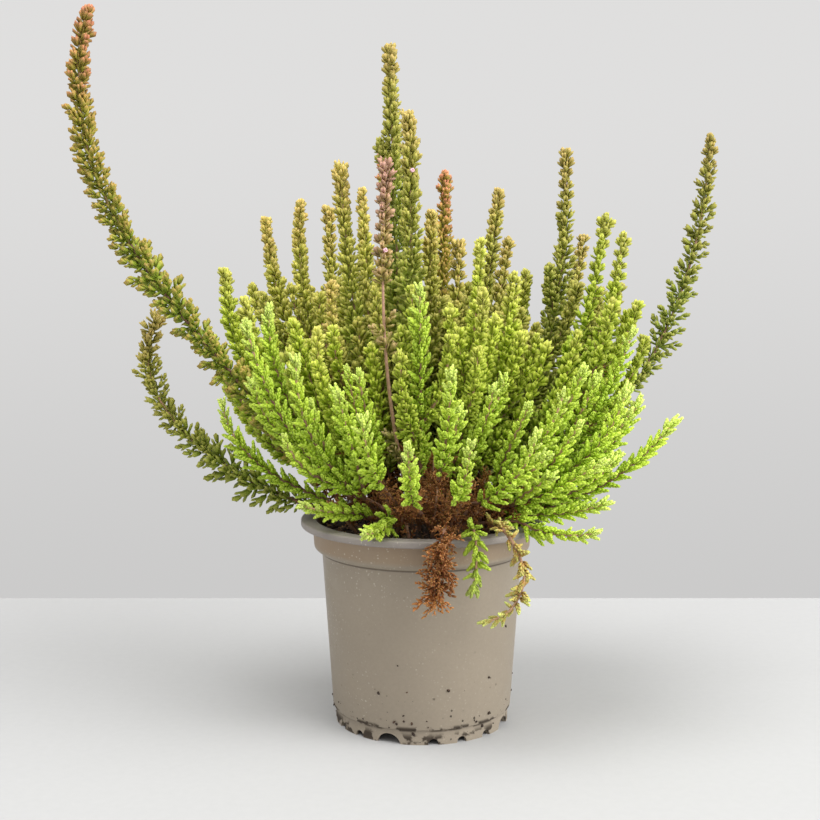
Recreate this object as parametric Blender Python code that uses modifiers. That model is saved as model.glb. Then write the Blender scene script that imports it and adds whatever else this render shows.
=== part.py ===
"""Potted heather: a leafy heather of about fifty stems in a round plastic nursery pot.

Units are metres in Blender. Sizes below are in millimetres and are turned into metres by MM.
The origin is on the pot's axis, at the level of its foot. +Z is up, -Y is the front.
"""

import math

import bmesh
import bpy
import numpy as np

MM = 0.001
GAP = 0.3

# Pot, as radius and height
RIM_RADIUS = 45.0
RIM_TOP = 76.5
LIP_HEIGHT = 2.5
COLLAR_RADIUS = 40.7
COLLAR_FOOT_RADIUS = 40.1
COLLAR_FOOT = 66.0
STEP_RADIUS = 37.2
STEP_HEIGHT = 64.0
BODY_FOOT_RADIUS = 33.4
FOOT_LINE = 5.6
FOOT_RADIUS = 32.4
WALL = 1.3
FLOOR_TOP = 8.0
FLOOR_UNDER = 6.6
FOOT_RING_WIDTH = 1.6
POT_STEPS = 32
DRAIN_HOLES = 5
DRAIN_RADIUS = 3.0
DRAIN_CIRCLE = 17.0
DRAIN_SIDES = 6

# Foot ring: in each quarter one wide arch and three small notches, by angle from the front
QUARTERS = 4
ARCH_ANGLE = -22.0
ARCH_WIDTH = 9.0
ARCH_HEIGHT = 3.6
NOTCH_OFFSETS = (29.0, 48.0, 67.5)
NOTCH_WIDTH = 3.6
NOTCH_HEIGHT = 2.2
NOTCH_SIDES = 12

# Compost
SOIL_EDGE = 71.5
SOIL_RISE = 5.0
SOIL_STEPS = 32
SOIL_RINGS = (33.0, 24.0, 15.0, 7.0)
LUMP_HEIGHT = 0.8
LUMP_WAVES = (0.41, 0.37)
LUMP_SHIFTS = (0.9, -0.4)
LEVEL_EDGE = 1.0

# Stems: how deep each is buried, and how far it stands straight up out of its hole
ROOT_DEPTH = 6.0
STAND = 2.2
STEM_FOOT_RADIUS = 1.25
HOLE_RADIUS = STEM_FOOT_RADIUS + 2.5 * GAP
HOLE_DEPTH = 7.0
HOLE_SIDES = 4
STEM_MID_RADIUS = 1.0
STEM_TIP_RADIUS = 0.7
# A stem leaves the compost at this share of its tip's distance from the axis, this far at most
BASE_SHARE = 0.28
BASE_REACH = 27.0
HANDLE = 0.38
CURVE_POINTS = 25
FINE_POINTS = 100
KNOT_STEPS = 12
CORE_SIDES = 3
RING_PITCH = 4.7
# The woody foot of a stem carries no leaves: this length and this share of the whole
BARE_LEAST = 8.0
BARE_PART = 0.05
SPRAY_BARE = 6.0
BARE_PITCH = 8.0
TURN_SEED = 7

# Each stem: tip x, y, z in millimetres, then how far it leans outwards from upright where it
# leaves the compost and at its tip, in degrees, and its foliage.
STEMS = {
    "tall_left": (-117, -14, 256, 33, -14, "bronze"),
    "low_left": (-98, 4, 150, 80, -28, "olive"),
    "left_back_a": (-76, 30, 167, 50, 0, "green"),
    "left_back_b": (-66, 10, 156, 44, 12, "green"),
    "lime_left_low": (-72, -14, 121, 66, 8, "lime"),
    "lime_left_a": (-61, -30, 150, 52, 12, "lime"),
    "lime_left_b": (-55, -12, 154, 44, -2, "lime"),
    "left_mid_a": (-62, 48, 187, 34, 6, "olive"),
    "left_mid_b": (-47, 32, 193, 38, -4, "olive"),
    "lime_front_left": (-43, -40, 139, 56, -4, "lime"),
    "mid_left_a": (-38, 64, 191, 36, 2, "olive"),
    "mid_left_b": (-31, 22, 205, 20, 6, "olive"),
    "mid_left_c": (-24, 66, 199, 34, 4, "olive"),
    "tall_middle_a": (-12, 18, 249, 8, 3, "olive"),
    "tall_middle_b": (-5, 2, 223, 4, 2, "olive"),
    "orange_tip": (-14, 44, 212, 18, 4, "bronze"),
    "pink_stem": (-13, -15, 205, 20, -4, "pink"),
    "middle_a": (4, 40, 189, 14, 4, "olive"),
    "middle_b": (10, 62, 205, 24, 2, "bronze"),
    "middle_c": (14, 18, 177, 10, 2, "olive"),
    "right_mid_a": (31, 52, 198, 26, 12, "olive"),
    "right_mid_b": (21, -4, 178, 14, 2, "green"),
    "right_mid_c": (33, 22, 179, 20, 10, "olive"),
    "right_mid_d": (33, -8, 166, 24, 4, "green"),
    "right_mid_e": (41, 36, 166, 38, 2, "green"),
    "tall_right_mid": (55, 30, 212, 44, -4, "olive"),
    "right_side_shoot": (66, 56, 180, 42, 12, "olive"),
    "right_a": (68, 8, 187, 46, 8, "green"),
    "right_b": (72, -8, 180, 54, 6, "green"),
    "right_c": (74, -22, 147, 58, 18, "lime"),
    "tall_right": (118, 64, 221, 75, 1, "olive"),
    "lime_right_a": (70, -34, 128, 62, 12, "lime"),
    "lime_right_b": (78, -14, 122, 66, 20, "lime"),
    "lime_right_long": (90, -18, 115, 80, 34, "lime"),
    "low_right_a": (59, -46, 80, 76, 70, "lime"),
    "low_right_b": (65, -29, 87, 78, 66, "lime"),
    "low_right_c": (62, -36, 103, 68, 52, "lime"),
    "front_left_a": (-37, -22, 147, 30, -4, "green"),
    "front_left_b": (-33, 2, 163, 24, -4, "olive"),
    "front_middle_a": (-1, -36, 163, 22, 2, "lime"),
    "front_middle_b": (9, -60, 136, 42, 8, "lime"),
    "front_right_a": (21, -28, 161, 24, 2, "green"),
    "front_right_b": (47, -47, 128, 50, 18, "lime"),
    "front_right_c": (37, -60, 116, 56, 20, "lime"),
    "front_low_a": (-5, -69, 113, 58, 18, "lime"),
    "front_low_b": (-20, -60, 121, 50, 12, "lime"),
    "front_low_c": (15, -70, 114, 60, 20, "lime"),
    "skirt_left_a": (-42, -38, 88, 70, 66, "lime"),
    "skirt_left_b": (-20, -57, 82, 74, 74, "lime"),
    "back_a": (-48, 66, 160, 40, 4, "green"),
    "back_b": (-12, 70, 146, 46, 8, "green"),
    "back_c": (26, 72, 165, 40, 4, "olive"),
    "back_d": (56, 66, 146, 48, 12, "green"),
}

# Sprays that hang over the rim or lie dead on the compost: points along the stem in millimetres
# from the compost outwards, the distance between rings of sprigs, and the foliage
SPRAYS = {
    "dry_tuft_hanging": (
        ((7, -29), (8, -37, 80), (7, -46, 80.5), (6, -51.5, 76), (5, -52, 69), (4, -52, 62), (3, -51.5, 56)),
        (3.4, "brown"),
    ),
    "dry_curl_hanging": (
        ((22, -24), (25, -34, 80), (28, -45, 80), (32, -51, 74), (34, -52, 66), (32, -51, 58),
         (27, -50.5, 52), (20, -50.5, 50)),
        (4.6, "ochre"),
    ),
    "green_sprig_hanging": (
        ((15, -28), (16, -38, 80), (17.5, -47, 80), (18, -52, 74), (17.5, -52, 66), (16.5, -51, 60)),
        (4.8, "lime"),
    ),
    "dead_spray_left": (
        ((-9, -26), (-8, -30, 79), (-6, -33, 84), (-3, -34, 91)),
        (3.6, "brown"),
    ),
    "dead_spray_right": (
        ((13, -22), (16, -25, 80), (20, -27, 84), (24, -27, 90)),
        (3.6, "brown"),
    ),
}

# Leaf lobes and side sprigs by foliage: length near the tip, length low down, and the distance
# below the tip over which one passes into the other
LOBES = {
    "olive": (4.0, 8.0, 110.0),
    "bronze": (4.8, 8.5, 130.0),
    "pink": (3.8, 6.5, 110.0),
    "green": (4.2, 8.5, 70.0),
    "lime": (4.5, 9.5, 42.0),
    "brown": (7.0, 9.0, 12.0),
    "ochre": (3.6, 4.4, 20.0),
}
# How far a lobe leans outwards from its stem, and the shares of its length tried where it is
# near the pot, the compost or another stem
LOBE_LEAN_TIP = 48.0
LOBE_LEAN_LOW = 38.0
LOBE_CUTS = (1.0, 0.85, 0.7, 0.55, 0.42, 0.3, 0.18, 0.08)
LOBE_CHECKS = tuple(np.linspace(0.1, 1.0, 10))
LOBE_MARGIN = 0.5
TIP_SHARE = 0.5
CAP_FACING = 0.75
ON_AXIS = 0.1

# How the stems' lines are bent clear of one another, of the compost and of the rim
SPREAD_ROUNDS = 60
SMOOTH_ROUNDS = 2
PUSH_SHARE = 0.35
MOST_MOVE = 1.2
TIP_HOLD = 0.85
BARE_SHARE = 0.12
BARE_CLEAR = 1.8
LEAFY_CLEAR = 2.7
LEAVING_POINTS = 2.0
RIM_CLEAR = 3.1
RIM_INNER = 35.0
RIM_RAMP = 9.0
RIM_OUTER = 47.5

COLOURS = {
    "pot": (0.36, 0.31, 0.25, 0.5),
    "compost": (0.035, 0.022, 0.015, 0.95),
    "olive": (0.19, 0.21, 0.04, 0.6),
    "bronze": (0.30, 0.17, 0.06, 0.6),
    "pink": (0.36, 0.19, 0.14, 0.6),
    "green": (0.19, 0.29, 0.05, 0.6),
    "lime": (0.32, 0.46, 0.09, 0.6),
    "brown": (0.20, 0.09, 0.04, 0.85),
    "ochre": (0.42, 0.28, 0.10, 0.8),
}


def clear_scene():
    for obj in list(bpy.data.objects):
        bpy.data.objects.remove(obj, do_unlink=True)


def new_collection(name):
    collection = bpy.data.collections.new(name)
    bpy.context.scene.collection.children.link(collection)
    return collection


def material(name):
    red, green, blue, roughness = COLOURS[name]
    made = bpy.data.materials.get(name) or bpy.data.materials.new(name)
    made.use_nodes = True
    shader = made.node_tree.nodes["Principled BSDF"]
    shader.inputs["Base Color"].default_value = (red, green, blue, 1.0)
    shader.inputs["Roughness"].default_value = roughness
    shader.inputs["Metallic"].default_value = 0.0
    return made


def add_object(name, mesh, collection, look=None):
    obj = bpy.data.objects.new(name, mesh)
    collection.objects.link(obj)
    if look:
        mesh.materials.clear()
        mesh.materials.append(material(look))
    return obj


def evaluated_mesh(obj):
    """The object's mesh with its modifiers or its curve worked out, as a mesh of its own."""
    bpy.context.view_layer.update()
    graph = bpy.context.evaluated_depsgraph_get()
    return bpy.data.meshes.new_from_object(obj.evaluated_get(graph))


def turned(name, profile, steps, collection, look=None):
    """A solid of revolution from (radius, height) pairs that run down its outer side."""
    mesh = bpy.data.meshes.new(name)
    points = [(r * MM, 0.0, z * MM) for r, z in profile]
    mesh.from_pydata(points, [(i, i + 1) for i in range(len(points) - 1)], [])
    obj = add_object(name, mesh, collection, look)
    screw = obj.modifiers.new("turn", "SCREW")
    screw.steps = steps
    screw.render_steps = steps
    screw.use_merge_vertices = True
    screw.merge_threshold = 0.0001
    return obj


def hide_cutter(obj):
    obj.hide_render = True
    obj.display_type = "WIRE"


def cut(obj, cutters):
    boolean = obj.modifiers.new("cut", "BOOLEAN")
    boolean.operation = "DIFFERENCE"
    boolean.operand_type = "COLLECTION"
    boolean.collection = cutters
    boolean.solver = "EXACT"


def pot_profile():
    inner_top = COLLAR_RADIUS - WALL
    return (
        (0, FLOOR_TOP),
        (BODY_FOOT_RADIUS - WALL, FLOOR_TOP),
        (STEP_RADIUS - WALL, STEP_HEIGHT + WALL),
        (COLLAR_FOOT_RADIUS - WALL, COLLAR_FOOT + WALL),
        (inner_top, RIM_TOP),
        (RIM_RADIUS, RIM_TOP),
        (RIM_RADIUS, RIM_TOP - LIP_HEIGHT),
        (COLLAR_RADIUS, RIM_TOP - LIP_HEIGHT),
        (COLLAR_FOOT_RADIUS, COLLAR_FOOT),
        (STEP_RADIUS, STEP_HEIGHT),
        (BODY_FOOT_RADIUS, FOOT_LINE),
        (FOOT_RADIUS, FOOT_LINE),
        (FOOT_RADIUS, 0),
        (FOOT_RADIUS - FOOT_RING_WIDTH, 0),
        (FOOT_RADIUS - FOOT_RING_WIDTH, FLOOR_UNDER),
        (0, FLOOR_UNDER),
    )


def front_angle(degrees):
    """The angle about +Z of a place that many degrees round from the front, towards +X."""
    return math.radians(degrees - 90.0)


def notch_cutter(name, degrees, width, height, collection):
    """A rod on its side through the foot ring, so that it leaves a rounded arch of that height."""
    radius = (width * width / 4 + height * height) / (2 * height)
    angle = front_angle(degrees)
    bpy.ops.mesh.primitive_cylinder_add(
        vertices=NOTCH_SIDES,
        radius=radius * MM,
        depth=4 * FOOT_RING_WIDTH * MM,
        location=(
            FOOT_RADIUS * math.cos(angle) * MM,
            FOOT_RADIUS * math.sin(angle) * MM,
            (height - radius) * MM,
        ),
        rotation=(0, math.pi / 2, angle),
    )
    return take(bpy.context.object, name, collection)


def take(obj, name, collection):
    """Names a new primitive and moves it into the collection, hidden as a cutter."""
    obj.name = name
    for other in list(obj.users_collection):
        other.objects.unlink(obj)
    collection.objects.link(obj)
    hide_cutter(obj)
    return obj


def make_pot(collection, cutters):
    for quarter in range(QUARTERS):
        turn = ARCH_ANGLE + quarter * 360.0 / QUARTERS
        notch_cutter(f"arch_{quarter}", turn, ARCH_WIDTH, ARCH_HEIGHT, cutters)
        for index, offset in enumerate(NOTCH_OFFSETS):
            notch_cutter(f"notch_{quarter}_{index}", turn + offset, NOTCH_WIDTH, NOTCH_HEIGHT, cutters)
    for index in range(DRAIN_HOLES):
        angle = 2 * math.pi * index / DRAIN_HOLES
        bpy.ops.mesh.primitive_cylinder_add(
            vertices=DRAIN_SIDES,
            radius=DRAIN_RADIUS * MM,
            depth=4 * WALL * MM,
            location=(
                DRAIN_CIRCLE * math.cos(angle) * MM,
                DRAIN_CIRCLE * math.sin(angle) * MM,
                (FLOOR_TOP + FLOOR_UNDER) / 2 * MM,
            ),
        )
        take(bpy.context.object, f"drain_{index}", cutters)
    return turned("pot", pot_profile(), POT_STEPS, collection, "pot")


def soil_height(x, y):
    """Height of the compost before its lumps: a low mound that meets the wall below the rim."""
    share = (x * x + y * y) / (COLLAR_RADIUS * COLLAR_RADIUS)
    return SOIL_EDGE + SOIL_RISE * max(0.0, 1.0 - share)


def lump(x, y):
    across = math.sin(LUMP_WAVES[0] * x + LUMP_SHIFTS[0])
    return LUMP_HEIGHT * across * math.cos(LUMP_WAVES[1] * y + LUMP_SHIFTS[1])


def make_compost(collection, cutters, feet):
    """The root ball, with a lumpy top and a plain hole for each stem."""
    edge = COLLAR_RADIUS - WALL - 2 * GAP
    top = [(r, soil_height(r, 0)) for r in (0.0, *reversed(SOIL_RINGS), edge)]
    profile = top + [
        (COLLAR_FOOT_RADIUS - WALL - 2 * GAP, COLLAR_FOOT + 2 * WALL),
        (STEP_RADIUS - WALL - 2 * GAP, STEP_HEIGHT + WALL - GAP),
        (BODY_FOOT_RADIUS - WALL - 2 * GAP, FLOOR_TOP + GAP),
        (0, FLOOR_TOP + GAP),
    ]
    blank = turned("compost_blank", profile, SOIL_STEPS, cutters)
    mesh = evaluated_mesh(blank)
    bpy.data.objects.remove(blank)
    for vertex in mesh.vertices:
        x, y, z = (c / MM for c in vertex.co)
        if z > SOIL_EDGE - GAP and math.hypot(x, y) < edge - LEVEL_EDGE:
            vertex.co.z += lump(x, y) * MM
    compost = add_object("compost", mesh, collection, "compost")
    for index, (x, y, z) in enumerate(feet):
        bpy.ops.mesh.primitive_cylinder_add(
            vertices=HOLE_SIDES,
            radius=HOLE_RADIUS * MM,
            depth=2 * HOLE_DEPTH * MM,
            location=(x * MM, y * MM, (z - STAND) * MM),
        )
        take(bpy.context.object, f"hole_{index}", cutters)
    return compost


def arc_resample(points, count):
    """The same line with its points spaced evenly along it."""
    steps = np.linalg.norm(np.diff(points, axis=0), axis=1)
    along = np.concatenate([[0.0], np.cumsum(steps)])
    wanted = np.linspace(0.0, along[-1], count)
    return np.stack([np.interp(wanted, along, points[:, axis]) for axis in range(3)], axis=1)


def stem_path(tip_x, tip_y, tip_z, rise, lean):
    """A cubic curve from the compost to the tip, in the upright plane through both."""
    tip = np.array([tip_x, tip_y, tip_z], float)
    reach = math.hypot(tip_x, tip_y)
    share = min(BASE_SHARE, BASE_REACH / reach)
    base = np.array([tip_x * share, tip_y * share, 0.0])
    base[2] = soil_height(base[0], base[1]) + STAND
    out = np.array([tip_x, tip_y, 0.0]) / reach
    up = np.array([0.0, 0.0, 1.0])
    handle = HANDLE * np.linalg.norm(tip - base)
    first = base + handle * (math.sin(math.radians(rise)) * out + math.cos(math.radians(rise)) * up)
    second = tip - handle * (math.sin(math.radians(lean)) * out + math.cos(math.radians(lean)) * up)
    t = np.linspace(0.0, 1.0, FINE_POINTS)[:, None]
    curve = (1 - t) ** 3 * base + 3 * t * (1 - t) ** 2 * first + 3 * t * t * (1 - t) * second + t**3 * tip
    return arc_resample(curve, CURVE_POINTS)


def spray_path(points):
    """A smooth line through a hanging or lying spray's own points, from the compost."""
    x, y = points[0]
    knots = np.array([(x, y, soil_height(x, y) + STAND), *points[1:]], float)
    before = np.vstack([2 * knots[0] - knots[1], knots, 2 * knots[-1] - knots[-2]])
    pieces = []
    t = np.linspace(0.0, 1.0, KNOT_STEPS, endpoint=False)[:, None]
    for a, b, c, d in zip(before, before[1:], before[2:], before[3:]):
        pieces.append(
            0.5 * (2 * b + (c - a) * t + (2 * a - 5 * b + 4 * c - d) * t * t + (3 * b - a - 3 * c + d) * t**3)
        )
    return arc_resample(np.vstack([*pieces, knots[-1:]]), CURVE_POINTS)


def keep_above(paths):
    """Lifts each line over the compost and over the rim."""
    reach = np.hypot(paths[..., 0], paths[..., 1])
    share = (reach / COLLAR_RADIUS) ** 2
    soil = SOIL_EDGE + SOIL_RISE * np.clip(1 - share, 0, 1)
    over_soil = BARE_CLEAR + LUMP_HEIGHT
    inside = reach < RIM_OUTER
    ramp = np.clip((reach - RIM_INNER + RIM_RAMP) / RIM_RAMP, 0, 1)
    floor = soil + (RIM_TOP + RIM_CLEAR - soil) * ramp
    leaving = np.minimum(np.arange(paths.shape[1]) / LEAVING_POINTS, 1.0)
    floor = soil + STAND + (floor + over_soil * (1 - ramp) - soil - STAND) * leaving
    paths[..., 2] = np.where(inside, np.maximum(paths[..., 2], floor), paths[..., 2])
    paths[:, 0, 2] = soil[:, 0] + STAND


def spread(paths, loose):
    """Bends the stems clear of one another, round after round. Tips move least."""
    count, points, _ = paths.shape
    along = np.linspace(0.0, 1.0, points)
    clear = np.tile(np.where(along < BARE_SHARE, BARE_CLEAR, LEAFY_CLEAR), count)
    ease = np.tile(1.0 - TIP_HOLD * along**3, count) * np.repeat(loose, points)
    owner = np.repeat(np.arange(count), points)
    other = owner[:, None] != owner[None, :]
    need = (clear[:, None] + clear[None, :]) * other
    for _ in range(SPREAD_ROUNDS):
        flat = paths.reshape(-1, 3)
        apart = flat[:, None, :] - flat[None, :, :]
        distance = np.sqrt((apart**2).sum(axis=2)) + 1e-6
        push = np.clip(need - distance, 0.0, None) / distance
        move = (apart * push[:, :, None]).sum(axis=1) * PUSH_SHARE
        move = (move * ease[:, None]).reshape(paths.shape)
        size = np.linalg.norm(move, axis=2, keepdims=True)
        move *= np.minimum(1.0, MOST_MOVE / np.maximum(size, 1e-6))
        for _ in range(SMOOTH_ROUNDS):
            inner = 0.25 * move[:, :-2] + 0.5 * move[:, 1:-1] + 0.25 * move[:, 2:]
            move[:, 1:-1] = inner
        paths = paths + move
        keep_above(paths)
    return paths


def stem_lines():
    """Every stem's line, name by name, after they are bent clear of one another."""
    names = [*STEMS, *SPRAYS]
    paths = [stem_path(*row[:5]) for row in STEMS.values()]
    paths += [spray_path(points) for points, _ in SPRAYS.values()]
    loose = np.array([1.0] * len(STEMS) + [0.0] * len(SPRAYS))
    paths = np.array(paths)
    held = paths[len(STEMS):].copy()
    paths = spread(paths, loose)
    paths[len(STEMS):] = held
    return dict(zip(names, paths))


def tangents(points):
    ways = np.gradient(points, axis=0)
    return ways / np.linalg.norm(ways, axis=1, keepdims=True)


def ring_places(length, bare, pitch):
    """Distances along a stem at which its rings stand: wide in the bare part, then by the pitch."""
    low = max(1, round(bare / BARE_PITCH))
    high = max(2, round((length - bare) / pitch))
    return np.concatenate([np.linspace(0, bare, low, endpoint=False), np.linspace(bare, length, high + 1)])


def at_distance(points, along, wanted):
    return np.stack([np.interp(wanted, along, points[:, axis]) for axis in range(3)], axis=1)


def stem_section(collection):
    """The three-cornered section that every stem's core is swept with."""
    curve = bpy.data.curves.new("stem_section", "CURVE")
    curve.dimensions = "2D"
    spline = curve.splines.new("POLY")
    spline.points.add(CORE_SIDES - 1)
    for index, point in enumerate(spline.points):
        angle = 2 * math.pi * index / CORE_SIDES
        point.co = (math.cos(angle) * MM, math.sin(angle) * MM, 0, 1)
    spline.use_cyclic_u = True
    section = add_object("stem_section", curve, collection)
    hide_cutter(section)
    return section


def core_tube(name, points, radii, section, turn, plain):
    """A slim tube through the points, as a mesh. Past the plain rings each one is turned half a
    side from the last."""
    curve = bpy.data.curves.new(name, "CURVE")
    curve.dimensions = "3D"
    curve.bevel_mode = "OBJECT"
    curve.bevel_object = section
    curve.use_fill_caps = True
    spline = curve.splines.new("POLY")
    spline.points.add(len(points) - 1)
    for index, (target, point, radius) in enumerate(zip(spline.points, points, radii)):
        target.co = (*(point * MM), 1.0)
        target.radius = radius
        target.tilt = turn + max(0, index - plain) * math.pi / CORE_SIDES
    holder = bpy.data.objects.new(name, curve)
    bpy.context.scene.collection.objects.link(holder)
    mesh = evaluated_mesh(holder)
    bpy.data.objects.remove(holder)
    bpy.data.curves.remove(curve)
    return mesh


def is_clear(point):
    """Whether this point of a lobe keeps off the pot and the compost."""
    x, y, z = point
    reach = math.hypot(x, y)
    if reach < COLLAR_RADIUS - WALL - GAP:
        return z > soil_height(x, y) + LUMP_HEIGHT + GAP
    if z > RIM_TOP + 2 * GAP:
        return True
    if z > RIM_TOP - LIP_HEIGHT - GAP:
        return reach > RIM_RADIUS + 4 * GAP
    return reach > COLLAR_RADIUS + 2 * GAP


def lobe_reach(foliage, below_tip):
    short, long, span = LOBES[foliage]
    share = min(1.0, below_tip / span)
    return short + (long - short) * share * share * (3 - 2 * share)


def room_for(apex, own, others):
    """How much nearer a lobe's tip is to its own stem than to any other."""
    here = np.linalg.norm(own - apex, axis=1).min()
    there = np.linalg.norm(others - apex, axis=1).min()
    return there - here


def leafy_stem(name, points, foliage, pitch, bare, others, section, turn, collection):
    """A slim core with a lobe or sprig raised from each side of each ring, cut short where another
    stem or the pot is near."""
    root = points[0] - [0, 0, ROOT_DEPTH + STAND]
    buried = ROOT_DEPTH + STAND
    line = np.vstack([root, points])
    along = np.concatenate([[0.0], np.cumsum(np.linalg.norm(np.diff(line, axis=0), axis=1))])
    length = along[-1]
    places = np.concatenate([[0.0], buried + ring_places(length - buried, bare, pitch)])
    centres = at_distance(line, along, places)
    radii = np.interp(
        places, [0.0, buried + bare, length], [STEM_FOOT_RADIUS, STEM_MID_RADIUS, STEM_TIP_RADIUS]
    )
    plain = int((places < buried + bare - GAP).sum())
    mesh = core_tube(name, centres, radii, section, turn, plain)
    bm = bmesh.new()
    bm.from_mesh(mesh)
    bpy.data.meshes.remove(mesh)
    bmesh.ops.remove_doubles(bm, verts=bm.verts[:], dist=1e-6)
    bmesh.ops.recalc_face_normals(bm, faces=bm.faces[:])
    fine = at_distance(line, along, np.linspace(0, length, int(length) + 2))
    ways = tangents(fine)
    steps = np.linspace(0, length, len(fine))
    leafy, cap = [], None
    for face in bm.faces:
        centre = np.array(face.calc_center_median()) / MM
        nearest = int(np.linalg.norm(fine - centre, axis=1).argmin())
        if abs(np.dot(np.array(face.normal), ways[nearest])) > CAP_FACING:
            if steps[nearest] > length / 2:
                cap = face
        elif steps[nearest] > buried + bare:
            leafy.append(face)
    raised = bmesh.ops.poke(bm, faces=leafy + [cap])["verts"]
    for vertex in raised:
        centre = np.array(vertex.co) / MM
        nearest = int(np.linalg.norm(fine - centre, axis=1).argmin())
        way = ways[nearest]
        away = centre - fine[nearest]
        away -= way * np.dot(away, way)
        below = length - steps[nearest]
        if np.linalg.norm(away) < ON_AXIS:
            vertex.co = (centre + way * LOBES[foliage][0] * TIP_SHARE) * MM
            continue
        away /= np.linalg.norm(away)
        share = min(1.0, below / LOBES[foliage][2])
        lean = math.radians(LOBE_LEAN_TIP + (LOBE_LEAN_LOW - LOBE_LEAN_TIP) * share)
        reach = lobe_reach(foliage, below)
        roots = [centre, *(np.array(edge.other_vert(vertex).co) / MM for edge in vertex.link_edges)]
        for cut_back in LOBE_CUTS:
            apex = centre + reach * cut_back * (math.cos(lean) * away + math.sin(lean) * way)
            passed = (root + (apex - root) * part for root in roots for part in LOBE_CHECKS)
            if all(map(is_clear, passed)) and room_for(apex, fine, others) > LOBE_MARGIN:
                break
        vertex.co = apex * MM
    mesh = bpy.data.meshes.new(name)
    bm.to_mesh(mesh)
    bm.free()
    return add_object(name, mesh, collection, foliage)


def main():
    clear_scene()
    parts = new_collection("potted_heather")
    pot_cutters = new_collection("pot_cutters")
    hole_cutters = new_collection("hole_cutters")
    guides = new_collection("guides")
    for helpers in (pot_cutters, hole_cutters, guides):
        helpers.hide_render = True
    pot = make_pot(parts, pot_cutters)
    lines = stem_lines()
    compost = make_compost(parts, hole_cutters, [line[0] for line in lines.values()])
    section = stem_section(guides)
    draw = np.random.default_rng(TURN_SEED)
    fine = {name: arc_resample(line, FINE_POINTS) for name, line in lines.items()}
    for name, line in lines.items():
        others = np.vstack([points for other, points in fine.items() if other != name])
        if name in STEMS:
            foliage, pitch = STEMS[name][5], RING_PITCH
            length = np.linalg.norm(np.diff(line, axis=0), axis=1).sum()
            bare = BARE_LEAST + BARE_PART * length
        else:
            (pitch, foliage), bare = SPRAYS[name][1], SPRAY_BARE
        turn = draw.uniform(0, 2 * math.pi / CORE_SIDES)
        leafy_stem(name, line, foliage, pitch, bare, others, section, turn, parts)
    cut(pot, pot_cutters)
    cut(compost, hole_cutters)


main()
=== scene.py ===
"""Potted heather: the looks of a leafy heather in a round plastic nursery pot.

Lengths below are in millimetres and are turned into metres by MM. The origin is on the pot's
axis, at the level of its foot. +Z is up and -Y is the front.
"""

import math
from functools import lru_cache, reduce
from typing import NamedTuple

import bmesh
import bpy
import numpy as np
from bpy.props import FloatProperty, FloatVectorProperty, IntProperty, PointerProperty
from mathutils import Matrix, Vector


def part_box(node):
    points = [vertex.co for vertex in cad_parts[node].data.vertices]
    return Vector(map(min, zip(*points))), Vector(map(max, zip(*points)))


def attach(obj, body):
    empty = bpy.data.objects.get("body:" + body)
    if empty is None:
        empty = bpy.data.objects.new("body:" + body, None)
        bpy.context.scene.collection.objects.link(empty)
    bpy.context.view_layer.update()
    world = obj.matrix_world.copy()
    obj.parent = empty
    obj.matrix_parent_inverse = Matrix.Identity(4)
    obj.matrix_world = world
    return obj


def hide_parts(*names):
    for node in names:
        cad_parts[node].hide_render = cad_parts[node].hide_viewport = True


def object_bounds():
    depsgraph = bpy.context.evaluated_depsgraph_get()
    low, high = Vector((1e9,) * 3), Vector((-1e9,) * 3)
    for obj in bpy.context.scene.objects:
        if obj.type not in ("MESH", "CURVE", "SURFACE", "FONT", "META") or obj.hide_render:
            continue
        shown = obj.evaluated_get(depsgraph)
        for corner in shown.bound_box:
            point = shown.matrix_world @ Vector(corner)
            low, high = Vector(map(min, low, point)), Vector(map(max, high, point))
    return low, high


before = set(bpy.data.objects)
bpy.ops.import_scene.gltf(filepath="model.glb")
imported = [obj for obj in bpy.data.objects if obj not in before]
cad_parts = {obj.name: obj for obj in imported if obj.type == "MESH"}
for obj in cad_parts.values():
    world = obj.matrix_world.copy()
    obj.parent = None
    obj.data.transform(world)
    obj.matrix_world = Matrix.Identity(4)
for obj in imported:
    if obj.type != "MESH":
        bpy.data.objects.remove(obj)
CAD_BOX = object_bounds()

bl_info = {
    "name": "Potted heather",
    "version": (1, 0, 0),
    "blender": (4, 5, 0),
    "location": "View3D > Sidebar > Heather",
    "description": "Builds a leafy heather, its nursery pot and its compost",
    "category": "Add Mesh",
}

MM = 0.001
GAP = 0.3
FULL_TURN = 2 * math.pi
UP = np.array([0.0, 0.0, 1.0])

# Pot, as radius and height
POT_SIDES = 96
RIM_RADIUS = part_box("pot")[1].x / MM
RIM_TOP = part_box("pot")[1].z / MM
LIP_HEIGHT = 2.5
COLLAR_RADIUS = 40.7
COLLAR_FOOT_RADIUS = 40.1
COLLAR_FOOT = 66.0
STEP_RADIUS = 37.2
STEP_HEIGHT = 64.0
BODY_FOOT_RADIUS = 33.4
FOOT_LINE = 5.6
FOOT_RADIUS = 32.4
WALL = 1.3
FLOOR_TOP = 8.0
FLOOR_UNDER = 6.6
FOOT_RING_WIDTH = 1.6
DRAIN_HOLES = 5
DRAIN_CIRCLE = 17.0

# Foot ring: in each quarter one wide arch and three small notches, by angle from the front
QUARTERS = 4
QUARTER = 360.0 / QUARTERS
ARCH_ANGLE = -22.0
ARCH_WIDTH = 9.0
ARCH_HEIGHT = 3.6
NOTCH_OFFSETS = (29.0, 48.0, 67.5)
NOTCH_WIDTH = 3.6
NOTCH_HEIGHT = 2.2

# Compost
SOIL_CELLS = 90
SOIL_EDGE = 71.5
SOIL_RISE = 5.0
SOIL_DEPTH = 4.0
LUMP_HEIGHT = 0.8
LUMP_WAVES = (0.41, 0.37)
LUMP_SHIFTS = (0.9, -0.4)

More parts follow.
